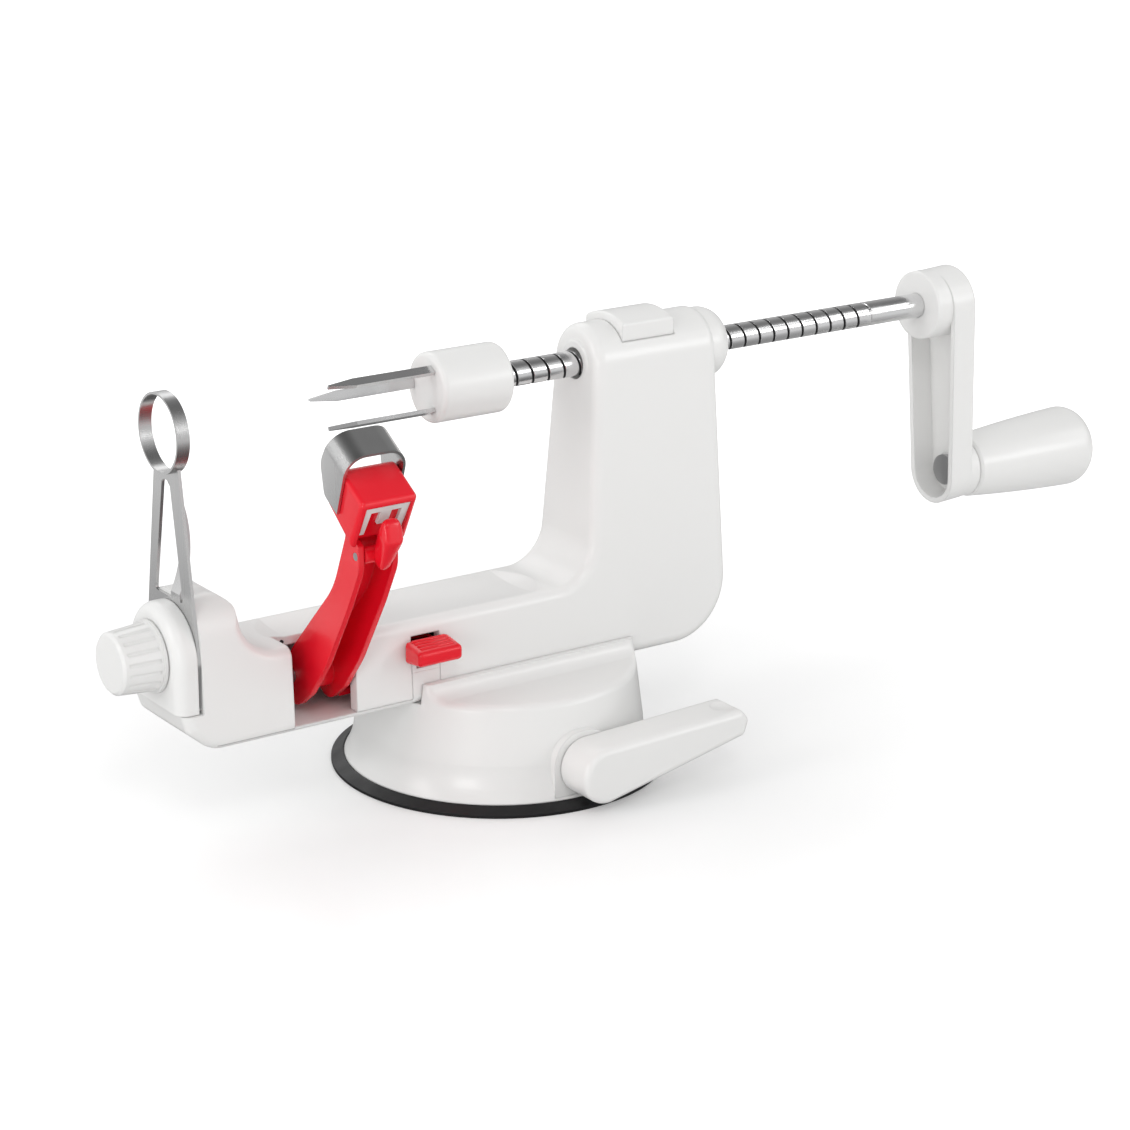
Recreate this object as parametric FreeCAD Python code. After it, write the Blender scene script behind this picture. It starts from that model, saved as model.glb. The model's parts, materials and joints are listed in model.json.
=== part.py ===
import FreeCAD, Part
import math
import os

V = FreeCAD.Vector

# Hand cranked apple peeler with a suction foot, sizes in mm, Z up
# The origin lies on the table under the centre of the suction foot
# X runs along the spindle from the corer towards the crank

# Spindle
SPINDLE_Z = 122.6
ROD_D = 8.0
ROD_LENGTH = 201.0
ROD_IN_HUB = 19.3
HUB_D = 21.6
HUB_LENGTH = 25.0
HUB_RIGHT = -0.7
HUB_FACE_ROUND = 1.6
PRONG_COUNT = 3
PRONG_LENGTH = 36.0
PRONG_CIRCLE_R = 6.6
PRONG_WIDTH = 3.0
PRONG_THICK = 1.2
PRONG_SEAT = 8.0
CARRIER_D = 12.0
CARRIER_THICK = 0.8

# Body frame, side outline
BEAM_BOTTOM = 30.2
BEAM_TOP = 56.4
NOSE_TOP = 75.0
NOSE_FACE_X = -112.1
NOSE_CREST_LENGTH = 12.1
NOSE_CREST_ROUND = 6.0
NOSE_FOOT_LENGTH = 16.1
NOSE_FOOT_ROUND = 12.0
NOSE_SHOULDER = 11.0
SHELF_Z = 42.2
SHELF_REACH = 6.5
TOWER_LEFT_LOW = 24.4
TOWER_LEFT_HIGH = 28.9
TOWER_RIGHT_LOW = 77.8
TOWER_RIGHT_HIGH = 73.4
TOWER_LEFT_ROUND = 13.0
TOWER_RIGHT_ROUND = 20.0
OUTLINE_TOP = 150.0
TROUGH_DEPTH = 1.2
TROUGH_FROM_NOSE = 22.1
TROUGH_RIGHT = 17.5
TROUGH_RUN_OUT = 12.5
TROUGH_LIFT = 2.3

# Body frame, end section
BARREL_R = 12.2
HALF_LOW = 16.96
EDGE_ROUND = 3.2
FRAME_WALL = 2.6
COLLAR_R = 7.3
COLLAR_PROUD = 1.1
EXIT_BOSS_R = 11.4
EXIT_BOSS_END = 82.3
EXIT_BOSS_MOUTH_R = 6.4
MOUTH_R = 4.9
MOUTH_DEPTH = 5.0
RUN_GAP = 0.06
SEAM_GAP = 0.12
FIT_GAP = 0.15
MOVE_GAP = 0.4

# Release button with its yoke and pawl
BUTTON_LEFT = 39.2
BUTTON_LENGTH = 19.6
BUTTON_HALF_W = 9.6
BUTTON_PROUD = 0.2
BUTTON_CROWN = 2.2
BUTTON_SKIRT = 1.8
BUTTON_TRAVEL = 3.0
YOKE_LENGTH = 10.0
YOKE_BAR = 4.5
YOKE_LEG_INNER = 4.7
PAWL_LENGTH = 8.0
PAWL_WRAP = 1.9
PAWL_BLOCK = 4.6
PAWL_SPRING_R = 3.6
PAWL_SPRING_WIRE = 0.9
PAWL_SPRING_H = 13.0
PAWL_SPRING_TURNS = 5

# Arm slot, arm and its pivot
SLOT_FROM_NOSE = 29.5
SLOT_WIDTH = 21.3
SLOT_REAR = 0.6
COVER_THICK = 2.1
CAVITY_RIGHT = 22.0
RIB_GAP = 4.0
RIB_THICK = 3.0
PIVOT_Y = -3.5
PIVOT_Z = 43.1
ARM_TILT = 31.6
ARM_IN_SLOT = 6.9
ARM_REACH = 74.0
ARM_WIDTH = 13.0
ARM_WALL = 1.8
ARM_END_W = 3.2
PIVOT_BOSS_R = 5.4
PIVOT_PIN_R = 2.0
PIVOT_PIN_SEAT = 5.4
ARM_SPRING_R = 4.4
ARM_SPRING_WIRE = 1.2

# Blade head
HEAD_WIDTH = 18.5
HEAD_SEAT = 10.5
HEAD_HEIGHT = 15.8
HEAD_BACK_W = -9.4
HEAD_FRONT_W = 6.2
HEAD_ROUND = 1.4
HEAD_WALL = 1.9
RECESS_DEPTH = 1.6
BLADE_THICK = 0.8
BLADE_RISE = 7.0
BLADE_EDGE_W = -16.4
BLADE_CORNER = 6.5
BLADE_FROM_LOW = 4.5
INSERT_THICK = 1.0
FINGER_W = 2.3
LATCH_WIDTH = 6.6
LATCH_TIP_WIDTH = 2.8
LATCH_HEIGHT = 16.2
LATCH_BACK_W = 7.6
LATCH_THICK = 6.4
LATCH_DROP = 4.0
LATCH_PIVOT_W = 7.4
LATCH_HUB_R = 2.6
LATCH_PIN_R = 1.2

# Arm lock
LOCK_FROM_SLOT = 19.3
LOCK_SLOT_W = 10.0
LOCK_SLOT_TOP = 52.0
TONGUE_TOP = 40.6
LOCK_GRIP_W = 16.2
LOCK_GRIP_LOW = 44.6
LOCK_GRIP_H = 6.0
LOCK_GRIP_REACH = 9.6
LOCK_TIP_LIFT = 0.7
LOCK_TIP_H = 3.0
LOCK_NECK_H = 5.0
LOCK_BAR_THICK = 2.4
LOCK_SPRING_R = 2.4
LOCK_SPRING_WIRE = 0.7

# Corer and slicer blade with its clamp
RING_R = 11.85
RING_WALL = 0.7
RING_PROUD = 3.2
RING_WIDTH = 4.0
PLATE_THICK = 1.0
STEM_HALF_TOP = 6.9
STEM_HALF_LOW = 15.6
STEM_LOW_Z = 43.0
STEM_TOP_Z = 110.4
WINDOW_TOP_Z = 108.6
WINDOW_LOW_Z = 73.6
TONGUE_BOW = 4.2
CAP_THICK = 6.6
CAP_R = 15.6
CLAMP_Z = 57.0
CAP_ROUND = 3.6
KNOB_R = 9.3
KNOB_BASE_R = 10.2
KNOB_LENGTH = 12.4
KNOB_FLANGE_R = 10.9
KNOB_FLANGE = 1.0
FLUTES = 18
FLUTE_R = 0.6
SCREW_R = 2.5
SCREW_REACH = 14.0
SCREW_IN_KNOB = 8.0
INSERT_R = 4.0
INSERT_LENGTH = 12.0

# Suction foot
PAD_R = 52.6
PAD_LIP = 0.9
RIM_R = 48.5
RIM_Z = 2.6
WAIST_R = 45.2
WAIST_Z = 13.6
SHOULDER_R = 42.2
SHOULDER_Z = 32.0
SHOULDER_ROUND = 2.4
FOOT_WALL = 2.8
SADDLE_TOP = 36.6
SADDLE_WALL = 2.3
SADDLE_GAP = 0.1
SCOOP_R = 4.0
FOOT_SCREW_FROM_LOCK = 10.0
FOOT_SCREW_RIGHT = 29.0
FOOT_SCREW_Y = 9.0
FOOT_SCREW_R = 1.8
FOOT_SCREW_HEAD_R = 3.4
FOOT_SCREW_HEAD = 2.0
FOOT_SCREW_GRIP = 10.0
FOOT_SCREW_BITE = 9.0
FOOT_BOSS_R = 4.2

# Suction lever, cam and pull stud
LEVER_Z = 12.1
LEVER_HUB_R = 8.7
LEVER_FRONT_Y = -60.0
LEVER_THICK = 13.2
LEVER_REACH = 53.0
LEVER_TIP_H = 8.4
LEVER_RISE = 6.3
LEVER_ROUND = 2.0
SHAFT_R = 4.0
SHAFT_END_Y = 22.0
SHAFT_INSET = 6.0
CAM_R = 5.0
CAM_THROW = 1.5
CAM_LENGTH = 9.0
STUD_R = 13.0
STUD_THICK = 1.6
PAD_DECK = 3.0

# Crank
ROD_IN_CRANK = 14.3
CRANK_BOSS_R = 11.4
CRANK_BOSS_LENGTH = 6.3
CRANK_DEPTH = 10.0
CRANK_TOP_R = 12.0
CRANK_LOW_R = 10.3
CRANK_THROW = 59.3
CRANK_WALL = 1.9
CRANK_LEAN = 3.4
HANDLE_COLLAR_R = 10.1
HANDLE_COLLAR = 3.3
HANDLE_BASE_R = 10.6
HANDLE_MID_R = 12.55
HANDLE_TIP_R = 13.8
HANDLE_LENGTH = 52.2
HANDLE_END_ROUND = 6.7
HANDLE_GAP = 0.5
PIN_R = 3.2
PIN_HEAD_R = 5.2
PIN_HEAD = 1.8
PIN_GRIP = 2.7
PIN_REACH = 38.0

# Lengths worked out from the sizes above
ROD_R = ROD_D / 2
HUB_R = HUB_D / 2
HUB_LEFT = HUB_RIGHT - HUB_LENGTH
ROD_LEFT = HUB_RIGHT - ROD_IN_HUB
ROD_RIGHT = ROD_LEFT + ROD_LENGTH
DRAFT = (HALF_LOW - BARREL_R) / (SPINDLE_Z - BEAM_BOTTOM)
COVER_TOP = BEAM_BOTTOM + COVER_THICK
HANDLE_Z = SPINDLE_Z - CRANK_THROW
TILT = math.radians(ARM_TILT)
CAP_BACK = NOSE_FACE_X - PLATE_THICK
CAP_FRONT = CAP_BACK - CAP_THICK
NOSE_CREST_X = NOSE_FACE_X + NOSE_CREST_LENGTH
NOSE_FOOT_X = NOSE_FACE_X + NOSE_FOOT_LENGTH
TROUGH_LEFT = NOSE_FACE_X + TROUGH_FROM_NOSE
SLOT_LEFT = NOSE_FACE_X + SLOT_FROM_NOSE
SLOT_RIGHT = SLOT_LEFT + SLOT_WIDTH
RIB_LEFT = SLOT_RIGHT + RIB_GAP
PIVOT_PIN_LEFT = SLOT_LEFT - PIVOT_PIN_SEAT
ARM_LEFT = SLOT_LEFT + ARM_IN_SLOT
ARM_RIGHT = ARM_LEFT + ARM_WIDTH
LOCK_SLOT_LEFT = SLOT_RIGHT + LOCK_FROM_SLOT
LOCK_SLOT_RIGHT = LOCK_SLOT_LEFT + LOCK_SLOT_W
FOOT_SCREW_LEFT = LOCK_SLOT_RIGHT + FOOT_SCREW_FROM_LOCK
RING_LEFT = NOSE_FACE_X - RING_PROUD
HEAD_LOW_U = ARM_REACH - HEAD_SEAT
HEAD_TOP_U = HEAD_LOW_U + HEAD_HEIGHT
BLADE_TOP_U = HEAD_TOP_U + BLADE_RISE
LATCH_PIVOT_U = HEAD_LOW_U - LATCH_DROP
BUTTON_TOP_EDGE = SPINDLE_Z + BARREL_R + BUTTON_PROUD
CRANK_FACE_X = ROD_RIGHT - ROD_IN_CRANK
CRANK_ARM_X = CRANK_FACE_X + CRANK_BOSS_LENGTH
HEAD_MID_X = ARM_LEFT + ARM_WIDTH / 2
BAR_TOP = PIVOT_Z - PIVOT_BOSS_R - MOVE_GAP
BAR_LOW = BAR_TOP - LOCK_BAR_THICK


def half_width(z):
    return BARREL_R + (SPINDLE_Z - z) * DRAFT


def cyl_x(r, x0, x1, y, z):
    return Part.makeCylinder(r, x1 - x0, V(x0, y, z), V(1, 0, 0))


def cyl_y(r, y0, y1, x, z):
    return Part.makeCylinder(r, y1 - y0, V(x, y0, z), V(0, 1, 0))


def cyl_z(r, z0, z1, x, y):
    return Part.makeCylinder(r, z1 - z0, V(x, y, z0))


def block(x0, x1, y0, y1, z0, z1):
    return Part.makeBox(x1 - x0, y1 - y0, z1 - z0, V(x0, y0, z0))


def rounded_wire(corners, place):
    # Closed outline of lines and corner arcs from (a, b, radius) corners
    edges = []
    ends = []
    count = len(corners)
    for i in range(count):
        a, b, r = corners[i]
        before = corners[i - 1]
        after = corners[(i + 1) % count]
        here = V(a, b, 0)
        to_before = (V(before[0], before[1], 0) - here).normalize()
        to_after = (V(after[0], after[1], 0) - here).normalize()
        if r <= 0:
            ends.append((here, here, None))
            continue
        angle = to_before.getAngle(to_after)
        reach = r / math.tan(angle / 2)
        middle = (to_before + to_after).normalize()
        centre = here + middle * (r / math.sin(angle / 2))
        ends.append((here + to_before * reach, here + to_after * reach, centre - middle * r))
    for i in range(count):
        first, last, mid = ends[i]
        if mid is not None:
            edges.append(Part.Arc(place(first), place(mid), place(last)).toShape())
        start = ends[(i + 1) % count][0]
        if (start - last).Length > 1e-6:
            edges.append(Part.LineSegment(place(last), place(start)).toShape())
    return Part.Wire(edges)


def plate_xz(corners, y0, y1):
    face = Part.Face(rounded_wire(corners, lambda p: V(p.x, y0, p.y)))
    return face.extrude(V(0, y1 - y0, 0))


def plate_yz(corners, x0, x1):
    face = Part.Face(rounded_wire(corners, lambda p: V(x0, p.x, p.y)))
    return face.extrude(V(x1 - x0, 0, 0))


def arm_point(u, w):
    # Point of the arm plane, u along the arm and w towards its open front
    y = PIVOT_Y - u * math.sin(TILT) - w * math.cos(TILT)
    z = PIVOT_Z + u * math.cos(TILT) - w * math.sin(TILT)
    return y, z


def plate_arm(corners, x0, x1):
    def place(p):
        y, z = arm_point(p.x, p.y)
        return V(x0, y, z)
    face = Part.Face(rounded_wire(corners, place))
    return face.extrude(V(x1 - x0, 0, 0))


def arm_cyl(r, x0, x1, u, w):
    y, z = arm_point(u, w)
    return cyl_x(r, x0, x1, y, z)


def turned_x(points, z):
    # Solid of revolution round an X line from (x, r) points
    line = [V(x, 0, z + r) for x, r in points]
    line.append(line[0])
    face = Part.Face(Part.makePolygon(line))
    return face.revolve(V(0, 0, z), V(1, 0, 0), 360)


def coil_z(radius, wire, height, turns, x, y, z):
    spine = Part.makeHelix((height - wire) / turns, height - wire, radius)
    ring = Part.Wire(Part.makeCircle(wire / 2, V(radius, 0, 0), V(0, 1, 0)))
    pipe = Part.Wire(spine.Edges).makePipeShell([ring], True, True)
    pipe.translate(V(x, y, z + wire / 2))
    return pipe


def soften(shape, radius, keep):
    edges = [e for e in shape.Edges if keep(e)]
    return shape.makeFillet(radius, edges)


# Body frame


def frame_outline():
    corners = [
        (NOSE_FACE_X, SHELF_Z, 0),
        (NOSE_FACE_X - SHELF_REACH, SHELF_Z, 0),
        (NOSE_FACE_X - SHELF_REACH + 1.9, SHELF_Z - 5.6, 4),
        (NOSE_FACE_X + 2.8, BEAM_BOTTOM, 9),
        (TOWER_RIGHT_LOW, BEAM_BOTTOM, TOWER_RIGHT_ROUND),
        (TOWER_RIGHT_HIGH, OUTLINE_TOP, 0),
        (TOWER_LEFT_HIGH + 0.8, OUTLINE_TOP, 0),
        (TOWER_LEFT_LOW, BEAM_TOP, TOWER_LEFT_ROUND),
        (NOSE_FOOT_X, BEAM_TOP, NOSE_FOOT_ROUND),
        (NOSE_CREST_X, NOSE_TOP, NOSE_CREST_ROUND),
        (NOSE_FACE_X, NOSE_TOP, 0),
    ]
    return plate_xz(corners, -20, 20)


def tower_section(x0, x1):
    low = V(x0, -HALF_LOW, BEAM_BOTTOM)
    side = V(x0, -BARREL_R, SPINDLE_Z)
    crown = V(x0, 0, SPINDLE_Z + BARREL_R)
    side2 = V(x0, BARREL_R, SPINDLE_Z)
    low2 = V(x0, HALF_LOW, BEAM_BOTTOM)
    under = V(x0, HALF_LOW, BEAM_BOTTOM - 1)
    under2 = V(x0, -HALF_LOW, BEAM_BOTTOM - 1)
    edges = [
        Part.makeLine(low, side),
        Part.Arc(side, crown, side2).toShape(),
        Part.makeLine(side2, low2),
        Part.makeLine(low2, under),
        Part.makeLine(under, under2),
        Part.makeLine(under2, low),
    ]
    return Part.Face(Part.Wire(edges)).extrude(V(x1 - x0, 0, 0))


def nose_shoulders():
    # What the domed nose leaves out of the straight end section
    far = NOSE_FACE_X - SHELF_REACH - 1
    low = NOSE_TOP - NOSE_SHOULDER - 0.6
    around = block(far, NOSE_FOOT_X, -HALF_LOW - 5, HALF_LOW + 5, low, NOSE_TOP + 5)
    top = half_width(NOSE_TOP)
    corners = [
        (-half_width(SHELF_Z), SHELF_Z, 0),
        (-top, NOSE_TOP, NOSE_SHOULDER),
        (top, NOSE_TOP, NOSE_SHOULDER),
        (half_width(SHELF_Z), SHELF_Z, 0),
    ]
    return around.cut(plate_yz(corners, far - 1, NOSE_FOOT_X + 1))


def fruit_trough():
    # Shallow hollow along the beam, turned round the spindle line
    r = SPINDLE_Z - BEAM_TOP + TROUGH_DEPTH
    points = [
        (TROUGH_LEFT, 0),
        (TROUGH_LEFT, r - TROUGH_LIFT),
        (TROUGH_LEFT + TROUGH_RUN_OUT, r),
        (TROUGH_RIGHT - TROUGH_RUN_OUT, r),
        (TROUGH_RIGHT, r - TROUGH_LIFT),
        (TROUGH_RIGHT, 0),
    ]
    near = block(TROUGH_LEFT - 1, TROUGH_RIGHT + 1, -20, 20, BEAM_TOP - 5, BEAM_TOP + 3)
    return turned_x(points, SPINDLE_Z).common(near)


def on_outline_edge(edge):
    # Edges where the front and back faces meet the top, side and bottom faces
    box = edge.BoundBox
    if edge.Length < 0.5:
        return False
    far = box.YMin > 5 or box.YMax < -5
    over_barrel = box.ZMin > SPINDLE_Z - 1 and box.YLength > 10
    if box.ZLength < 0.01 and box.ZMin > SPINDLE_Z - 1:
        return False
    if box.ZMax < BEAM_TOP - 10 and box.XMin < NOSE_FACE_X:
        return False
    at_face = abs(box.XMax - NOSE_FACE_X) < 0.01
    shelf = box.XMax < NOSE_FACE_X + 0.01
    if over_barrel:
        return True
    return far and not at_face and not shelf


def frame_body():
    section = tower_section(NOSE_FACE_X - SHELF_REACH - 1, TOWER_RIGHT_LOW + 1)
    body = frame_outline().common(section).removeSplitter()
    high = [e for e in body.Edges if on_outline_edge(e) and e.BoundBox.ZMax > BEAM_BOTTOM + 1]
    body = body.makeFillet(EDGE_ROUND, high)
    return body.cut(nose_shoulders()).cut(fruit_trough())


def frame_ends(body):
    left = TOWER_LEFT_HIGH + 0.1
    collar = cyl_x(COLLAR_R, left - COLLAR_PROUD, left + 4, 0, SPINDLE_Z)
    collar = soften(collar, 0.7, lambda e: e.BoundBox.XMax < left)
    body = body.fuse(collar)
    neck = TOWER_RIGHT_HIGH + 1.6
    end = EXIT_BOSS_END
    start = V(neck, 0, SPINDLE_Z + EXIT_BOSS_R)
    finish = V(end, 0, SPINDLE_Z + EXIT_BOSS_MOUTH_R)
    bulge = V(neck + (end - neck) * 0.72, 0, SPINDLE_Z + EXIT_BOSS_MOUTH_R + 3.3)
    inner = V(TOWER_RIGHT_HIGH - 6, 0, SPINDLE_Z + EXIT_BOSS_R)
    axis_a = V(inner.x, 0, SPINDLE_Z)
    axis_b = V(end, 0, SPINDLE_Z)
    edges = [
        Part.makeLine(axis_a, inner),
        Part.makeLine(inner, start),
        Part.Arc(start, bulge, finish).toShape(),
        Part.makeLine(finish, axis_b),
        Part.makeLine(axis_b, axis_a),
    ]
    boss = Part.Face(Part.Wire(edges)).revolve(V(0, 0, SPINDLE_Z), V(1, 0, 0), 360)
    return body.fuse(boss)


def frame_bores(body):
    left = TOWER_LEFT_HIGH - COLLAR_PROUD
    body = body.cut(cyl_x(ROD_R + RUN_GAP, left - 3, EXIT_BOSS_END + 1, 0, SPINDLE_Z))
    body = body.cut(cyl_x(MOUTH_R, left - 3, left + MOUTH_DEPTH, 0, SPINDLE_Z))
    body = body.cut(cyl_x(MOUTH_R, EXIT_BOSS_END - MOUTH_DEPTH, EXIT_BOSS_END + 1, 0, SPINDLE_Z))
    return body


def button_low_z():
    return SPINDLE_Z + math.sqrt(BARREL_R ** 2 - (BUTTON_HALF_W + MOVE_GAP) ** 2) - 1.2


def yoke_low_z():
    return SPINDLE_Z - ROD_R - PAWL_BLOCK - YOKE_BAR


def button_pocket():
    gap = 0.25
    x0 = BUTTON_LEFT - gap
    x1 = BUTTON_LEFT + BUTTON_LENGTH + gap
    half = BUTTON_HALF_W + gap
    floor = button_low_z() - BUTTON_TRAVEL - MOVE_GAP
    pocket = block(x0, x1, -half, half, floor, OUTLINE_TOP)
    mid = BUTTON_LEFT + BUTTON_LENGTH / 2
    reach = YOKE_LENGTH / 2 + MOVE_GAP
    well_floor = yoke_low_z() - PAWL_SPRING_H
    well = block(mid - reach, mid + reach, -half, half, well_floor, floor + 1)
    return pocket.fuse(well)


def frame_cavity():
    half = HALF_LOW - FRAME_WALL - 1.6
    x0 = SLOT_LEFT
    ceiling = BEAM_TOP - FRAME_WALL - TROUGH_DEPTH
    hollow = block(x0, CAVITY_RIGHT, -half, half, BEAM_BOTTOM - 1, ceiling)
    rib = block(RIB_LEFT, RIB_LEFT + RIB_THICK, -half, half, BAR_TOP + MOVE_GAP + 0.2, ceiling)
    hollow = hollow.cut(rib)
    slot = block(x0, SLOT_RIGHT, -HALF_LOW - 2, PIVOT_Y + SLOT_REAR, BEAM_BOTTOM - 1, BEAM_TOP + 2)
    return hollow.fuse(slot)


def cover_shape(gap):
    # Underside cover with the tongue that closes the lock slot
    x1 = LOCK_SLOT_RIGHT
    plate = block(SLOT_LEFT + gap, x1 - gap, -HALF_LOW - 2, HALF_LOW + 2, BEAM_BOTTOM, COVER_TOP - gap)
    half_top = half_width(TONGUE_TOP)
    depth = FRAME_WALL + 1.0
    tongue = block(LOCK_SLOT_LEFT + gap, x1 - gap, -HALF_LOW - 2, -half_top + depth,
                   BEAM_BOTTOM, TONGUE_TOP)
    return plate.fuse(tongue)


def lock_slot():
    return block(LOCK_SLOT_LEFT, LOCK_SLOT_RIGHT, -HALF_LOW - 2, -8, BEAM_BOTTOM - 1, LOCK_SLOT_TOP)


def insert_pocket():
    return cyl_x(INSERT_R, NOSE_FACE_X - 1, NOSE_FACE_X + INSERT_LENGTH, 0, CLAMP_Z)


def screw_clear():
    return cyl_x(SCREW_R + 0.4, NOSE_FACE_X - 1, NOSE_FACE_X + SCREW_REACH + 2, 0, CLAMP_Z)


def foot_screw_places():
    return [(x, y) for x in (FOOT_SCREW_LEFT, FOOT_SCREW_RIGHT) for y in (-FOOT_SCREW_Y, FOOT_SCREW_Y)]


def body_frame():
    body = frame_bores(frame_ends(frame_body()))
    body = body.cut(button_pocket())
    solid = body
    body = body.cut(frame_cavity())
    body = body.cut(lock_slot())
    plate_zone = block(SLOT_LEFT, LOCK_SLOT_RIGHT, -20, 20, BEAM_BOTTOM - 1, COVER_TOP)
    body = body.cut(plate_zone)
    body = body.cut(insert_pocket())
    body = body.cut(screw_clear())
    body = body.cut(cyl_x(PIVOT_PIN_R, PIVOT_PIN_LEFT, RIB_LEFT + RIB_THICK, PIVOT_Y, PIVOT_Z))
    boss_top = BEAM_TOP - FRAME_WALL
    for x, y in foot_screw_places():
        if x < CAVITY_RIGHT:
            body = body.fuse(cyl_z(FOOT_BOSS_R, BEAM_BOTTOM, boss_top, x, y))
        body = body.cut(cyl_z(FOOT_SCREW_R, BEAM_BOTTOM - 1, BEAM_BOTTOM + FOOT_SCREW_BITE + 1, x, y))
    return body, solid


def underside_cover(solid):
    return solid.common(cover_shape(SEAM_GAP))


# Release button


def release_button():
    x0 = BUTTON_LEFT
    x1 = BUTTON_LEFT + BUTTON_LENGTH
    half = BUTTON_HALF_W
    low = button_low_z()
    left = V(x0, -half, BUTTON_TOP_EDGE)
    crown = V(x0, 0, BUTTON_TOP_EDGE + BUTTON_CROWN)
    right = V(x0, half, BUTTON_TOP_EDGE)
    edges = [
        Part.Arc(left, crown, right).toShape(),
        Part.makeLine(right, V(x0, half, low)),
        Part.makeLine(V(x0, half, low), V(x0, -half, low)),
        Part.makeLine(V(x0, -half, low), left),
    ]
    cap = Part.Face(Part.Wire(edges)).extrude(V(x1 - x0, 0, 0))
    cap = soften(cap, 0.9, lambda e: e.BoundBox.ZMax > BUTTON_TOP_EDGE - 0.01 and e.BoundBox.ZMin > low + 1)
    roof = SPINDLE_Z + ROD_R + BUTTON_TRAVEL + MOVE_GAP
    inner = half - BUTTON_SKIRT
    cap = cap.cut(block(x0 - 1, x1 + 1, -inner, inner, low - 1, roof))
    mid = (x0 + x1) / 2
    ya = mid - YOKE_LENGTH / 2
    yb = mid + YOKE_LENGTH / 2
    bottom = yoke_low_z()
    yoke = block(ya, yb, -half, half, bottom, roof + 0.5)
    window = block(ya - 1, yb + 1, -YOKE_LEG_INNER, YOKE_LEG_INNER, bottom + YOKE_BAR, roof)
    return cap.fuse(yoke.cut(window)).removeSplitter()


def thread_pawl():
    mid = BUTTON_LEFT + BUTTON_LENGTH / 2
    low = yoke_low_z() + YOKE_BAR
    half = YOKE_LEG_INNER
    top = SPINDLE_Z - ROD_R + PAWL_WRAP
    pawl = block(mid - PAWL_LENGTH / 2, mid + PAWL_LENGTH / 2, -half, half, low, top)
    return pawl.cut(cyl_x(ROD_R + RUN_GAP, mid - 10, mid + 10, 0, SPINDLE_Z))


def pawl_spring():
    mid = BUTTON_LEFT + BUTTON_LENGTH / 2
    low = yoke_low_z() - PAWL_SPRING_H
    return coil_z(PAWL_SPRING_R, PAWL_SPRING_WIRE, PAWL_SPRING_H, PAWL_SPRING_TURNS, mid, 0, low)


# Spindle group


def spindle_rod():
    rod = cyl_x(ROD_R, ROD_LEFT, ROD_RIGHT, 0, SPINDLE_Z)
    return rod.makeChamfer(0.5, [e for e in rod.Edges if e.Curve.TypeId == "Part::GeomCircle"])


def prong(angle):
    x0 = HUB_LEFT - PRONG_LENGTH
    x1 = HUB_LEFT + PRONG_SEAT
    half = PRONG_WIDTH / 2
    tip = x0 + 9
    corners = [
        (x0, -half + 1.2, 0),
        (tip, -half, 0),
        (x1, -half, 0),
        (x1, half, 0),
        (tip, half, 0),
        (x0, half - 1.2, 0),
    ]
    face = Part.Face(rounded_wire(corners, lambda p: V(p.x, p.y, SPINDLE_Z + PRONG_CIRCLE_R)))
    blade = face.extrude(V(0, 0, PRONG_THICK))
    blade.rotate(V(0, 0, SPINDLE_Z), V(1, 0, 0), angle)
    return blade


def fork_prongs():
    return [prong(360.0 * i / PRONG_COUNT + 30) for i in range(PRONG_COUNT)]


def fork_hub(prongs):
    hub = cyl_x(HUB_R, HUB_LEFT, HUB_RIGHT, 0, SPINDLE_Z)
    hub = soften(hub, HUB_FACE_ROUND, lambda e: e.BoundBox.YLength > 1)
    hub = hub.cut(cyl_x(ROD_R, ROD_LEFT, HUB_RIGHT + 1, 0, SPINDLE_Z))
    for p in prongs:
        hub = hub.cut(p)
    return hub


def spindle_carrier():
    x0 = HUB_RIGHT + 0.3
    ring = cyl_x(CARRIER_D / 2, x0, x0 + CARRIER_THICK, 0, SPINDLE_Z)
    return ring.cut(cyl_x(ROD_R + RUN_GAP, x0 - 1, x0 + CARRIER_THICK + 1, 0, SPINDLE_Z))


def capsule_yz(top_r, low_r, x0, x1):
    # Two circles joined by their outer tangents, as an arm seen along X
    drop = CRANK_THROW
    lean = math.asin((top_r - low_r) / drop)
    ca = math.cos(lean)
    sa = math.sin(lean)
    a = V(x0, -top_r * ca, SPINDLE_Z - top_r * sa)
    b = V(x0, -low_r * ca, HANDLE_Z - low_r * sa)
    c = V(x0, -b.y, b.z)
    d = V(x0, -a.y, a.z)
    edges = [
        Part.makeLine(a, b),
        Part.Arc(b, V(x0, 0, HANDLE_Z - low_r), c).toShape(),
        Part.makeLine(c, d),
        Part.Arc(d, V(x0, 0, SPINDLE_Z + top_r), a).toShape(),
    ]
    return Part.Face(Part.Wire(edges)).extrude(V(x1 - x0, 0, 0))


def lean_out(shape):
    shape.rotate(V(CRANK_ARM_X + CRANK_DEPTH, 0, SPINDLE_Z), V(0, 1, 0), -CRANK_LEAN)
    return shape


def handle_seat_x():
    # Outer face of the arm on the handle line
    lean = math.radians(CRANK_LEAN)
    return CRANK_ARM_X + CRANK_DEPTH + CRANK_THROW * math.tan(lean)


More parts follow.
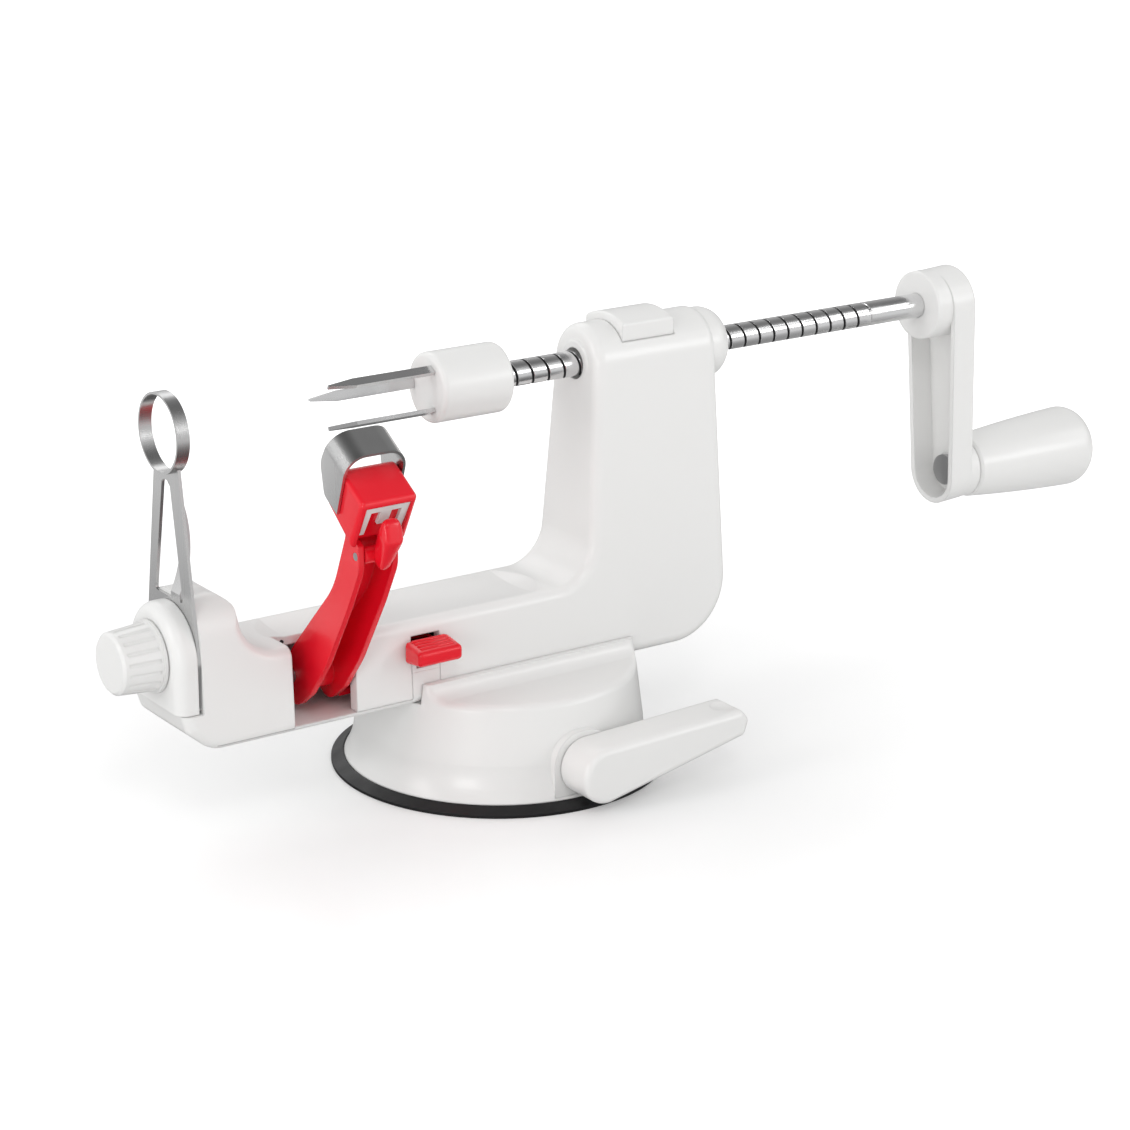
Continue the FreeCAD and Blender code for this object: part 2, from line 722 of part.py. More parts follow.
def crank_arm():
    x0 = CRANK_ARM_X
    x1 = CRANK_ARM_X + CRANK_DEPTH
    shell = capsule_yz(CRANK_TOP_R, CRANK_LOW_R, x0, x1)
    shell = soften(shell, 1.6, lambda e: e.BoundBox.XMin > x1 - 0.01)
    inner = capsule_yz(CRANK_TOP_R - CRANK_WALL, CRANK_LOW_R - CRANK_WALL, x0 - 1, x1 - CRANK_WALL)
    arm = lean_out(shell.cut(inner))
    boss = cyl_x(CRANK_BOSS_R, CRANK_FACE_X, x1 - 1.0, 0, SPINDLE_Z)
    boss = soften(boss, 0.7, lambda e: e.BoundBox.XMax < CRANK_FACE_X + 0.01)
    arm = arm.fuse(boss)
    seat = handle_seat_x()
    ear = cyl_x(PIN_R + 2.4, seat - PIN_GRIP, seat - 1.0, 0, HANDLE_Z)
    collar = cyl_x(HANDLE_COLLAR_R, seat - 1.2, seat + HANDLE_COLLAR, 0, HANDLE_Z)
    arm = arm.fuse(ear).fuse(collar)
    arm = arm.cut(cyl_x(ROD_R, CRANK_FACE_X - 1, ROD_RIGHT, 0, SPINDLE_Z))
    arm = arm.cut(cyl_x(PIN_R, seat - 12, seat + HANDLE_COLLAR + 1, 0, HANDLE_Z))
    return arm


def crank_pin():
    seat = handle_seat_x()
    reach = seat + PIN_REACH
    pin = cyl_x(PIN_R, seat - PIN_GRIP, reach, 0, HANDLE_Z)
    head = cyl_x(PIN_HEAD_R, seat - PIN_GRIP - PIN_HEAD, seat - PIN_GRIP, 0, HANDLE_Z)
    keeper = cyl_x(PIN_R + 1.0, reach, reach + 2, 0, HANDLE_Z)
    return pin.fuse(head).fuse(keeper)


def crank_handle():
    # Grip that widens to a blunt rounded end, turning free on the pin
    x0 = handle_seat_x() + HANDLE_COLLAR + HANDLE_GAP
    x1 = x0 + HANDLE_LENGTH
    turn = x1 - HANDLE_END_ROUND
    z = HANDLE_Z
    base = V(x0 + 0.8, 0, z + HANDLE_BASE_R)
    tip = V(turn, 0, z + HANDLE_TIP_R)
    k = HANDLE_END_ROUND * math.sqrt(0.5)
    inner = HANDLE_TIP_R - HANDLE_END_ROUND
    edges = [
        Part.makeLine(V(x0, 0, z), V(x0, 0, z + HANDLE_BASE_R - 0.8)),
        Part.makeLine(V(x0, 0, z + HANDLE_BASE_R - 0.8), base),
        Part.Arc(base, V((x0 + turn) / 2, 0, z + HANDLE_MID_R), tip).toShape(),
        Part.Arc(tip, V(turn + k, 0, z + inner + k), V(x1, 0, z + inner)).toShape(),
        Part.makeLine(V(x1, 0, z + inner), V(x1, 0, z)),
        Part.makeLine(V(x1, 0, z), V(x0, 0, z)),
    ]
    grip = Part.Face(Part.Wire(edges)).revolve(V(0, 0, z), V(1, 0, 0), 360)
    deep = handle_seat_x() + PIN_REACH
    grip = grip.cut(cyl_x(PIN_R + RUN_GAP, x0 - 1, deep, 0, z))
    return grip.cut(cyl_x(PIN_R + 1.0 + MOVE_GAP, deep - MOVE_GAP, deep + 2 + MOVE_GAP, 0, z))


# Peeling arm group


def arm_back(inset):
    # Back edge of the arm, from above its pivot up to the head
    i = inset
    return [
        (ARM_REACH * 0.12, -4.0 + i, 10.0),
        (ARM_REACH * 0.57, 3.4 + i, 30.0),
        (ARM_REACH * 0.81, 0.6 + i, 12.0),
        (ARM_REACH, -3.6 + i, 0),
    ]


def arm_outline():
    front = [
        (ARM_REACH, ARM_END_W, 0),
        (HEAD_LOW_U - 0.2, ARM_END_W, 0),
        (HEAD_LOW_U - 0.2, LATCH_PIVOT_W - 0.2, 0),
        (ARM_REACH * 0.77, 11.2, 10.0),
        (ARM_REACH * 0.57, 12.2, 40.0),
        (ARM_REACH * 0.24, 12.4, 30.0),
        (3.0, 10.6, 8.0),
        (-PIVOT_BOSS_R - 2.2, 6.6, 5.5),
    ]
    return [(-PIVOT_BOSS_R - 2.2, -6.2, 6.0)] + arm_back(0) + front


def arm_channel():
    full = plate_arm(arm_outline(), ARM_LEFT, ARM_RIGHT)
    low = -PIVOT_BOSS_R - 4.2
    end = ARM_REACH + 6.0
    corners = [
        (low, -12.0, 0),
        (low, 20.0, 0),
        (end, 20.0, 0),
        (end, -3.4 + ARM_WALL, 0),
    ]
    corners = corners + arm_back(ARM_WALL)[::-1] + [(-3.0, -5.4, 0), (-5.0, -12.0, 0)]
    inside = plate_arm(corners, ARM_LEFT + ARM_WALL, ARM_RIGHT - ARM_WALL)
    return full.cut(inside)


def peeling_arm():
    arm = arm_channel()
    x0 = ARM_LEFT
    x1 = ARM_RIGHT
    hub = arm_cyl(PIVOT_BOSS_R, x0, x1 + 3.6, 0, 0)
    notch_y, notch_z = arm_point(-PIVOT_BOSS_R, 0)
    notch = block(x1 + 0.4, x1 + 5, notch_y - 1.6, notch_y + 1.6, notch_z - 2, notch_z + 1.6)
    notch.rotate(V(0, PIVOT_Y, PIVOT_Z), V(1, 0, 0), -10)
    arm = arm.fuse(hub.cut(notch))
    arm = arm.cut(arm_cyl(PIVOT_PIN_R + RUN_GAP, x0 - 1, x1 + 5, 0, 0))
    arm = arm.cut(arm_cyl(LATCH_PIN_R, x0 - 1, x1 + 1, LATCH_PIVOT_U, LATCH_PIVOT_W))
    return arm


def head_x0():
    return HEAD_MID_X - HEAD_WIDTH / 2


def blade_head():
    x0 = head_x0()
    x1 = x0 + HEAD_WIDTH
    corners = [
        (HEAD_LOW_U + 2.2, HEAD_BACK_W, 0),
        (HEAD_TOP_U, HEAD_BACK_W, 2.2),
        (HEAD_TOP_U, HEAD_FRONT_W - 0.4, 1.6),
        (HEAD_LOW_U, HEAD_FRONT_W + 0.8, 0),
    ]
    head = plate_arm(corners, x0, x1)
    head = soften(head, HEAD_ROUND, lambda e: e.BoundBox.XLength < 0.01 and e.Length > 0.5)
    pocket = [
        (HEAD_LOW_U - 2, HEAD_BACK_W + 2.4, 0),
        (ARM_REACH + 0.6, HEAD_BACK_W + 2.4, 0),
        (ARM_REACH + 0.6, ARM_END_W + FIT_GAP, 0),
        (HEAD_LOW_U - 2, ARM_END_W + FIT_GAP, 0),
    ]
    room = plate_arm(pocket, ARM_LEFT - FIT_GAP, ARM_RIGHT + FIT_GAP)
    head = head.cut(room)
    recess = [
        (HEAD_LOW_U - 2, HEAD_FRONT_W - RECESS_DEPTH, 0),
        (HEAD_TOP_U - HEAD_WALL, HEAD_FRONT_W - RECESS_DEPTH, 0),
        (HEAD_TOP_U - HEAD_WALL, HEAD_FRONT_W + 4, 0),
        (HEAD_LOW_U - 2, HEAD_FRONT_W + 4, 0),
    ]
    return head.cut(plate_arm(recess, x0 + HEAD_WALL, x1 - HEAD_WALL))


def blade_insert():
    # Plate with three fingers that hang from a cross bar
    x0 = head_x0() + HEAD_WALL + 0.1
    x1 = head_x0() + HEAD_WIDTH - HEAD_WALL - 0.1
    back = HEAD_FRONT_W - RECESS_DEPTH
    top = HEAD_TOP_U - HEAD_WALL - 0.1
    mid = (x0 + x1) / 2
    centre_w = FINGER_W * 0.75
    strips = [
        (x0, x1, top - FINGER_W),
        (x0, x0 + FINGER_W, HEAD_LOW_U + 3.0),
        (mid - centre_w, mid + centre_w, HEAD_LOW_U + 6.5),
        (x1 - FINGER_W, x1, HEAD_LOW_U + 3.0),
    ]
    bar = None
    for a, b, low in strips:
        front = back + INSERT_THICK
        strip = plate_arm([(low, back, 0), (top, back, 0), (top, front, 0), (low, front, 0)], a, b)
        bar = strip if bar is None else bar.fuse(strip)
    return bar.removeSplitter()


def peeling_blade():
    # Bent strip that stands over the back of the head like a hoop
    out = BLADE_THICK
    x0 = head_x0() - 0.2 - out
    x1 = head_x0() + HEAD_WIDTH + 0.2 + out
    low = HEAD_LOW_U + BLADE_FROM_LOW
    top = BLADE_TOP_U

    def place(p, w):
        y, z = arm_point(p.y, w)
        return V(p.x, y, z)

    def hoop(inset):
        i = inset
        corners = [
            (x0 + i, low - i, 0),
            (x0 + i, top - i, BLADE_CORNER - i),
            (x1 - i, top - i, BLADE_CORNER - i),
            (x1 - i, low - i, 0),
        ]
        wire = rounded_wire(corners, lambda p: place(p, BLADE_EDGE_W))
        y0, z0 = arm_point(0, BLADE_EDGE_W)
        y1, z1 = arm_point(0, -2.0)
        return Part.Face(wire).extrude(V(0, y1 - y0, z1 - z0))

    strip = hoop(0).cut(hoop(out))
    side = [
        (low, -2.0, 0),
        (top + 1, -6.5, 0),
        (top + 1, BLADE_EDGE_W, 0),
        (low + 7.0, BLADE_EDGE_W, 6.0),
        (low, BLADE_EDGE_W + 6.5, 3.0),
    ]
    return strip.common(plate_arm(side, x0 - 1, x1 + 1))


def head_latch():
    # Thumb catch, broad over the head and narrow at its lower tip
    x0 = HEAD_MID_X - LATCH_WIDTH / 2
    x1 = HEAD_MID_X + LATCH_WIDTH / 2
    low = LATCH_PIVOT_U - 1.0
    top = low + LATCH_HEIGHT
    front = LATCH_BACK_W + LATCH_THICK
    corners = [
        (top, LATCH_BACK_W, 0.8),
        (top, LATCH_BACK_W + 2.6, 1.6),
        (top - 3.6, front + 0.2, 1.8),
        (low, front, 1.3),
        (low + 0.2, LATCH_BACK_W + 1.2, 0),
        (low + 2.4, LATCH_BACK_W, 0),
    ]
    latch = plate_arm(corners, x0, x1)
    latch = latch.common(latch_front(low, top))
    latch = latch.fuse(arm_cyl(LATCH_HUB_R, x0, x1, LATCH_PIVOT_U, LATCH_PIVOT_W))
    bore = arm_cyl(LATCH_PIN_R + RUN_GAP, x0 - 1, x1 + 1, LATCH_PIVOT_U, LATCH_PIVOT_W)
    return latch.cut(bore)


def latch_front(low, top):
    # Outline of the catch seen from the front
    wide = LATCH_WIDTH / 2
    slim = LATCH_TIP_WIDTH / 2
    half = [(low, slim, 1.2), (top - 5.0, wide, 4.0), (top, wide, 2.6)]
    outline = [(u, HEAD_MID_X - h, r) for u, h, r in half]
    outline = outline + [(u, HEAD_MID_X + h, r) for u, h, r in reversed(half)]
    y0, z0 = arm_point(0, 0)
    y1, z1 = arm_point(0, LATCH_BACK_W + LATCH_THICK + 2)

    def place(p):
        y, z = arm_point(p.x, 0)
        return V(p.y, y, z)

    return Part.Face(rounded_wire(outline, place)).extrude(V(0, y1 - y0, z1 - z0))


def latch_pin():
    return arm_cyl(LATCH_PIN_R, ARM_LEFT, ARM_RIGHT, LATCH_PIVOT_U, LATCH_PIVOT_W)


def arm_pivot_pin():
    return cyl_x(PIVOT_PIN_R, PIVOT_PIN_LEFT, RIB_LEFT + RIB_THICK, PIVOT_Y, PIVOT_Z)


def arm_spring():
    # Coil round the pivot beside the arm with a leg up and a leg back
    turns = 2
    pitch = ARM_SPRING_WIRE + 0.12
    coil = coil_z(ARM_SPRING_R, ARM_SPRING_WIRE, pitch * turns + ARM_SPRING_WIRE, turns, 0, 0, 0)
    r = ARM_SPRING_WIRE / 2
    leg = Part.makeCylinder(r, 13.0, V(ARM_SPRING_R, 0, r), V(0, 1, 0))
    leg2 = Part.makeCylinder(r, 8.0, V(ARM_SPRING_R, 0, r + pitch * turns), V(0, -1, 0))
    spring = coil.fuse(leg).fuse(leg2)
    spring.rotate(V(0, 0, 0), V(0, 1, 0), 90)
    spring.rotate(V(0, 0, 0), V(1, 0, 0), 128)
    spring.translate(V(SLOT_LEFT + 0.5, PIVOT_Y, PIVOT_Z))
    return spring


# Arm lock


def lock_button():
    gap = MOVE_GAP
    high = LOCK_GRIP_LOW + LOCK_GRIP_H
    face_y = -half_width(LOCK_GRIP_LOW) - gap
    out_y = face_y - LOCK_GRIP_REACH
    x0 = LOCK_SLOT_LEFT + (LOCK_SLOT_W - LOCK_GRIP_W) / 2
    x1 = x0 + LOCK_GRIP_W
    tip_low = LOCK_GRIP_LOW + LOCK_TIP_LIFT
    tip_high = tip_low + LOCK_TIP_H
    corners = [
        (face_y, LOCK_GRIP_LOW, 0.6),
        (face_y, high, 0.6),
        (out_y, tip_high, 1.3),
        (out_y + 0.3, tip_low, 1.2),
    ]
    grip = plate_yz(corners, x0, x1)
    grip = soften(grip, 1.0, lambda e: e.BoundBox.XLength < 0.01 and e.BoundBox.YMin < face_y - 1)
    slope = (high - tip_high) / LOCK_GRIP_REACH
    for i in range(4):
        along = 1.6 + i * 1.6
        z = high - 0.1 - along * slope
        grip = grip.fuse(cyl_x(0.4, x0 + 3, x1 - 3, face_y - along, z))
    nx0 = LOCK_SLOT_LEFT + gap
    nx1 = LOCK_SLOT_RIGHT - gap
    neck_top = LOCK_GRIP_LOW + LOCK_NECK_H
    neck = block(nx0, nx1, face_y - 0.5, -9.0, LOCK_GRIP_LOW + 0.3, neck_top)
    riser = block(nx0, nx1, -12.0, -4.5, BAR_TOP + 2.2, neck_top)
    step = block(nx0 - 3.0, nx0 + 2.0, -8.0, -4.5, BAR_LOW, BAR_TOP + 5)
    bar = block(ARM_RIGHT + 0.5, nx0, -8.0, 0.5, BAR_LOW, BAR_TOP)
    return grip.fuse(neck).fuse(riser).fuse(step).fuse(bar).removeSplitter()


def lock_spring():
    x = LOCK_SLOT_LEFT + LOCK_SLOT_W / 2 + 1.0
    height = BAR_TOP + 2.2 - COVER_TOP
    return coil_z(LOCK_SPRING_R, LOCK_SPRING_WIRE, height, 3, x, -8.2, COVER_TOP)


# Corer blade and clamp


def corer_blade():
    ring = cyl_x(RING_R, RING_LEFT, RING_LEFT + RING_WIDTH, 0, SPINDLE_Z)
    bore = cyl_x(RING_R - RING_WALL, RING_LEFT - 1, RING_LEFT + RING_WIDTH + 1, 0, SPINDLE_Z)
    x0 = NOSE_FACE_X - PLATE_THICK
    stem = [
        (-STEM_HALF_TOP, STEM_TOP_Z + 4.0, 0),
        (-STEM_HALF_LOW, STEM_LOW_Z + 14, 8),
        (-STEM_HALF_LOW, STEM_LOW_Z, 1.5),
        (STEM_HALF_LOW, STEM_LOW_Z, 1.5),
        (STEM_HALF_LOW, STEM_LOW_Z + 14, 8),
        (STEM_HALF_TOP, STEM_TOP_Z + 4.0, 0),
    ]
    plate = plate_yz(stem, x0, NOSE_FACE_X)
    window = [
        (-1.8, WINDOW_TOP_Z, 1.7),
        (-7.6, WINDOW_LOW_Z, 1.0),
        (9.2, WINDOW_LOW_Z, 1.0),
        (2.6, WINDOW_TOP_Z, 1.7),
    ]
    plate = plate.cut(plate_yz(window, x0 - 1, NOSE_FACE_X + 1))
    tongue = slicing_tongue(x0)
    blade = plate.fuse(ring).fuse(tongue).cut(bore)
    blade = blade.cut(cyl_x(SCREW_R + 0.3, x0 - 2, NOSE_FACE_X + 2, 0, CLAMP_Z))
    return blade


def slicing_tongue(x0):
    # Pressed strip in the window, bowed towards the apple above the frame nose
    top = WINDOW_TOP_Z + 1.5
    low = NOSE_TOP + 0.6
    root = WINDOW_LOW_Z - 1.5
    mid = (top + low) / 2
    t = V(PLATE_THICK, 0, 0)
    a = V(x0, -15, low)
    b = V(x0 + TONGUE_BOW, -15, mid)
    c = V(x0, -15, top)
    edges = [
        Part.Arc(a, b, c).toShape(),
        Part.makeLine(c, c + t),
        Part.Arc(c + t, b + t, a + t).toShape(),
        Part.makeLine(a + t, a),
    ]
    strip = Part.Face(Part.Wire(edges)).extrude(V(0, 30, 0))
    strip = strip.fuse(block(x0, x0 + PLATE_THICK, -15, 15, root, low))
    corners = [(-0.9, top, 0), (-6.2, root, 0), (-0.6, root, 0), (1.7, top, 0)]
    return strip.common(plate_yz(corners, x0 - 1, x0 + TONGUE_BOW + 3))


def tombstone(x0, x1, r, low):
    a = V(x0, -r, low)
    b = V(x0, -r, CLAMP_Z)
    c = V(x0, 0, CLAMP_Z + r)
    d = V(x0, r, CLAMP_Z)
    e = V(x0, r, low)
    edges = [Part.makeLine(a, b), Part.Arc(b, c, d).toShape(), Part.makeLine(d, e), Part.makeLine(e, a)]
    return Part.Face(Part.Wire(edges)).extrude(V(x1 - x0, 0, 0))


def clamp_cap():
    cap = tombstone(CAP_FRONT, CAP_BACK - 0.1, CAP_R, SHELF_Z + 0.2)
    front = CAP_FRONT + 0.01
    cap = soften(cap, CAP_ROUND, lambda e: e.BoundBox.XMax < front and e.BoundBox.ZMax > SHELF_Z + 1)
    return cap.cut(cyl_x(SCREW_R + RUN_GAP, CAP_FRONT - 1, CAP_BACK + 1, 0, CLAMP_Z))


def knob_base_x():
    return CAP_FRONT - 0.3


def clamp_knob():
    x1 = knob_base_x()
    x0 = x1 - KNOB_FLANGE - KNOB_LENGTH
    xb = x1 - KNOB_FLANGE
    points = [(x1, 0), (x1, KNOB_FLANGE_R), (xb, KNOB_FLANGE_R), (xb, KNOB_BASE_R),
              (x0 + 0.9, KNOB_R), (x0, KNOB_R - 0.9), (x0, 0)]
    knob = turned_x(points, CLAMP_Z)
    lift = FLUTE_R * 0.4
    slope = (KNOB_BASE_R - KNOB_R) / (KNOB_LENGTH - 0.9)
    first = V(xb - 0.8, 0, CLAMP_Z + KNOB_BASE_R + lift - 0.8 * slope)
    last = V(x0 + 2.0, 0, CLAMP_Z + KNOB_R + lift + 1.1 * slope)
    for i in range(FLUTES):
        flute = Part.makeCylinder(FLUTE_R, (last - first).Length, first, last - first)
        flute.rotate(V(0, 0, CLAMP_Z), V(1, 0, 0), 360.0 * i / FLUTES)
        knob = knob.cut(flute)
    return knob.cut(cyl_x(SCREW_R, x1 - SCREW_IN_KNOB, x1 + 1, 0, CLAMP_Z))


def clamp_screw():
    return cyl_x(SCREW_R, knob_base_x() - SCREW_IN_KNOB, NOSE_FACE_X + SCREW_REACH, 0, CLAMP_Z)


def nose_insert():
    tube = cyl_x(INSERT_R, NOSE_FACE_X + 0.5, NOSE_FACE_X + INSERT_LENGTH, 0, CLAMP_Z)
    return tube.cut(cyl_x(SCREW_R + RUN_GAP, NOSE_FACE_X, NOSE_FACE_X + INSERT_LENGTH + 1, 0, CLAMP_Z))


# Suction foot


def foot_profile(inset):
    # Half section of the foot from (r, z) points, drawn in by the wall
    i = inset
    floor = RIM_Z if i == 0 else RIM_Z - 1
    rim = RIM_R - i
    edges = [
        Part.makeLine(V(0, 0, floor), V(rim, 0, floor)),
        Part.Arc(V(rim, 0, floor), V(WAIST_R + 1.0 - i, 0, (RIM_Z + WAIST_Z) / 2 - 0.4),
                 V(WAIST_R - i, 0, WAIST_Z)).toShape(),
        Part.makeLine(V(WAIST_R - i, 0, WAIST_Z), V(SHOULDER_R - i, 0, SADDLE_TOP - i)),
        Part.makeLine(V(SHOULDER_R - i, 0, SADDLE_TOP - i), V(0, 0, SADDLE_TOP - i)),
        Part.makeLine(V(0, 0, SADDLE_TOP - i), V(0, 0, floor)),
    ]
    return Part.Face(Part.Wire(edges)).revolve(V(0, 0, 0), V(0, 0, 1), 360)


def foot_roof():
    # End section of the saddle with a scoop on each side, run along X
    lip = HALF_LOW + SADDLE_WALL
    far = RIM_R + 5
    half = [
        (lip, SADDLE_TOP, 0),
        (lip + 0.5, SHOULDER_Z, SCOOP_R),
        (far, SHOULDER_Z, 0),
        (far, 0, 0),
    ]
    corners = half + [(-y, z, r) for y, z, r in reversed(half)]
    return plate_yz(corners, -RIM_R - 1, RIM_R + 1)


def lever_pad():
    # Flat boss on the drum side that carries the lever
    r = LEVER_HUB_R + 1.9
    low = RIM_Z + 1.0
    y0 = LEVER_FRONT_Y + LEVER_THICK + MOVE_GAP
    corners = [(-r, low, 0), (r, low, 0), (r, LEVER_Z + r, r * 0.9), (-r, LEVER_Z + r, r * 0.9)]
    return plate_xz(corners, y0, -30)


def lever_bay():
    # Room for the lever's hub in front of its boss, down to a lip of the rim
    r = LEVER_HUB_R + 1.9
    front = LEVER_FRONT_Y + LEVER_THICK + MOVE_GAP
    return block(-r, r, LEVER_FRONT_Y, front, LEVER_Z - LEVER_HUB_R - MOVE_GAP, LEVER_Z + r)


def base_housing(solid):
    outer = foot_profile(0).common(foot_roof())
    rim = [e for e in outer.Edges if is_shoulder(e)]
    outer = outer.makeFillet(SHOULDER_ROUND, rim)
    outer = outer.fuse(lever_pad()).cut(lever_bay())
    inner = foot_profile(FOOT_WALL)
    inner = inner.common(block(-RIM_R, RIM_R, -RIM_R, RIM_R, 0, BEAM_BOTTOM - FOOT_WALL))
    shell = outer.cut(inner)
    half = HALF_LOW + SADDLE_GAP
    seat = block(-PAD_R, PAD_R, -half, half, BEAM_BOTTOM, SADDLE_TOP + 1)
    shell = shell.cut(solid).cut(seat)
    shell = shell.cut(cyl_y(SHAFT_R + RUN_GAP, -PAD_R, -30, 0, LEVER_Z))
    far = cyl_y(SHAFT_R + 3.0, STUD_R + 1.0, SHAFT_END_Y + 3.0, 0, LEVER_Z)
    web = block(-3.0, 3.0, STUD_R + 1.0, SHAFT_END_Y + 3.0, LEVER_Z, BEAM_BOTTOM - 1)
    post = far.fuse(web)
    shell = shell.fuse(post).cut(cyl_y(SHAFT_R + RUN_GAP, STUD_R, SHAFT_END_Y + 0.5, 0, LEVER_Z))
    for x, y in foot_screw_places():
        shell = shell.fuse(cyl_z(FOOT_BOSS_R, BEAM_BOTTOM - FOOT_SCREW_GRIP, BEAM_BOTTOM - 1, x, y))
        shell = shell.cut(cyl_z(FOOT_SCREW_R, BEAM_BOTTOM - FOOT_SCREW_GRIP - 2, BEAM_BOTTOM + 1, x, y))
    return shell


def is_shoulder(edge):
    # Edge between the drum wall and the scooped top
    box = edge.BoundBox
    if edge.Curve.TypeId == "Part::GeomLine" or box.ZMin < WAIST_Z + 2:
        return False
    return box.ZMin < SADDLE_TOP - 0.1


def suction_pad():
    lip = PAD_LIP
    deck = RIM_Z - 0.05
    points = [
        (0, 0), (PAD_R, 0), (PAD_R, lip), (RIM_R + 0.5, deck + 0.2),
        (RIM_R + 0.1, deck), (RIM_R - FOOT_WALL - 0.6, deck), (STUD_R + 4, deck), (STUD_R + 2, PAD_DECK),
        (0, PAD_DECK),
    ]
    line = [V(r, 0, z) for r, z in points]
    line.append(line[0])
    return Part.Face(Part.makePolygon(line)).revolve(V(0, 0, 0), V(0, 0, 1), 360)


def pull_stud():
    low = PAD_DECK + 0.3
    plate = cyl_z(STUD_R, low, low + STUD_THICK, 0, 0)
    reach = CAM_R + CAM_THROW + 0.6
    half = CAM_LENGTH / 2 - 1.0
    roof = LEVER_Z - CAM_THROW + CAM_R + 0.5
    hanger = block(-reach - 2.2, reach + 2.2, -half, half, low, roof + 2.6)
    window = block(-reach, reach, -half - 1, half + 1, LEVER_Z - CAM_THROW - CAM_R - 0.5, roof)
    return plate.fuse(hanger).cut(window)


def cam_shaft():
    shaft = cyl_y(SHAFT_R, LEVER_FRONT_Y + SHAFT_INSET, SHAFT_END_Y, 0, LEVER_Z)
    cam = cyl_y(CAM_R, -CAM_LENGTH / 2, CAM_LENGTH / 2, 0, LEVER_Z - CAM_THROW)
    slim = cyl_y(SHAFT_R + 1, -CAM_LENGTH / 2, CAM_LENGTH / 2, 0, LEVER_Z)
    return shaft.cut(slim).fuse(cam)


def suction_lever():
    y0 = LEVER_FRONT_Y
    y1 = y0 + LEVER_THICK
    z = LEVER_Z
    r = LEVER_HUB_R
    corners = [
        (-r, z - r, r),
        (0.6, z - r, 2.0),
        (LEVER_REACH - 1.6, z + LEVER_RISE - LEVER_TIP_H / 2, 2.6),
        (LEVER_REACH, z + LEVER_RISE + 0.8, 2.4),
        (LEVER_REACH - 2.8, z + LEVER_RISE + LEVER_TIP_H / 2, 2.0),
        (4.0, z + r + 0.3, 12.0),
        (-r, z + r, r),
    ]
    lever = plate_xz(corners, y0, y1)
    lever = soften(lever, LEVER_ROUND, lambda e: e.BoundBox.YLength < 0.01 and e.BoundBox.YMin < y0 + 0.01)
    scoop_z = z + LEVER_RISE + LEVER_TIP_H / 2 + 5.6
    lever = lever.cut(Part.makeSphere(7.0, V(LEVER_REACH - 5.6, (y0 + y1) / 2 + 0.6, scoop_z)))
    return lever.cut(cyl_y(SHAFT_R, y0 + SHAFT_INSET, y1 + 1, 0, z))


def foot_screw(x, y):
    low = BEAM_BOTTOM - FOOT_SCREW_GRIP
    shank = cyl_z(FOOT_SCREW_R, low, BEAM_BOTTOM + FOOT_SCREW_BITE, x, y)
    head = cyl_z(FOOT_SCREW_HEAD_R, low - FOOT_SCREW_HEAD, low, x, y)
    return head.fuse(shank)


def main():
    frame, solid = body_frame()
    prongs = fork_prongs()
    parts = {
        "body_frame": frame,
        "underside_cover": underside_cover(solid),
        "base_housing": base_housing(solid),
        "suction_pad": suction_pad(),
        "nose_insert": nose_insert(),
        "arm_pivot_pin": arm_pivot_pin(),
        "arm_spring": arm_spring(),
        "lock_spring": lock_spring(),
        "pawl_spring": pawl_spring(),
        "corer_slicer_blade": corer_blade(),
        "clamp_cap": clamp_cap(),
        "clamp_knob": clamp_knob(),
        "clamp_screw": clamp_screw(),
        "spindle_carrier": spindle_carrier(),
        "spindle_rod": spindle_rod(),
        "fork_hub": fork_hub(prongs),
        "crank_arm": crank_arm(),
        "crank_pin": crank_pin(),
        "crank_handle": crank_handle(),
        "release_button": release_button(),
        "thread_pawl": thread_pawl(),
        "peeling_arm": peeling_arm(),
        "blade_head": blade_head(),
        "blade_insert": blade_insert(),
        "peeling_blade": peeling_blade(),
        "head_latch": head_latch(),
        "latch_pin": latch_pin(),
        "lock_button": lock_button(),
        "suction_lever": suction_lever(),
        "cam_shaft": cam_shaft(),
        "pull_stud": pull_stud(),
    }
    for i, p in enumerate(prongs):
        parts["fork_prong_%d" % (i + 1)] = p
    for i, (x, y) in enumerate(foot_screw_places()):
        parts["foot_screw_%d" % (i + 1)] = foot_screw(x, y)
    os.makedirs("parts", exist_ok=True)
    for name, shape in parts.items():
        shape.exportStep("parts/%s.step" % name)


main()
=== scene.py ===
import json
import math

import bmesh
import bpy
from mathutils import Matrix, Vector

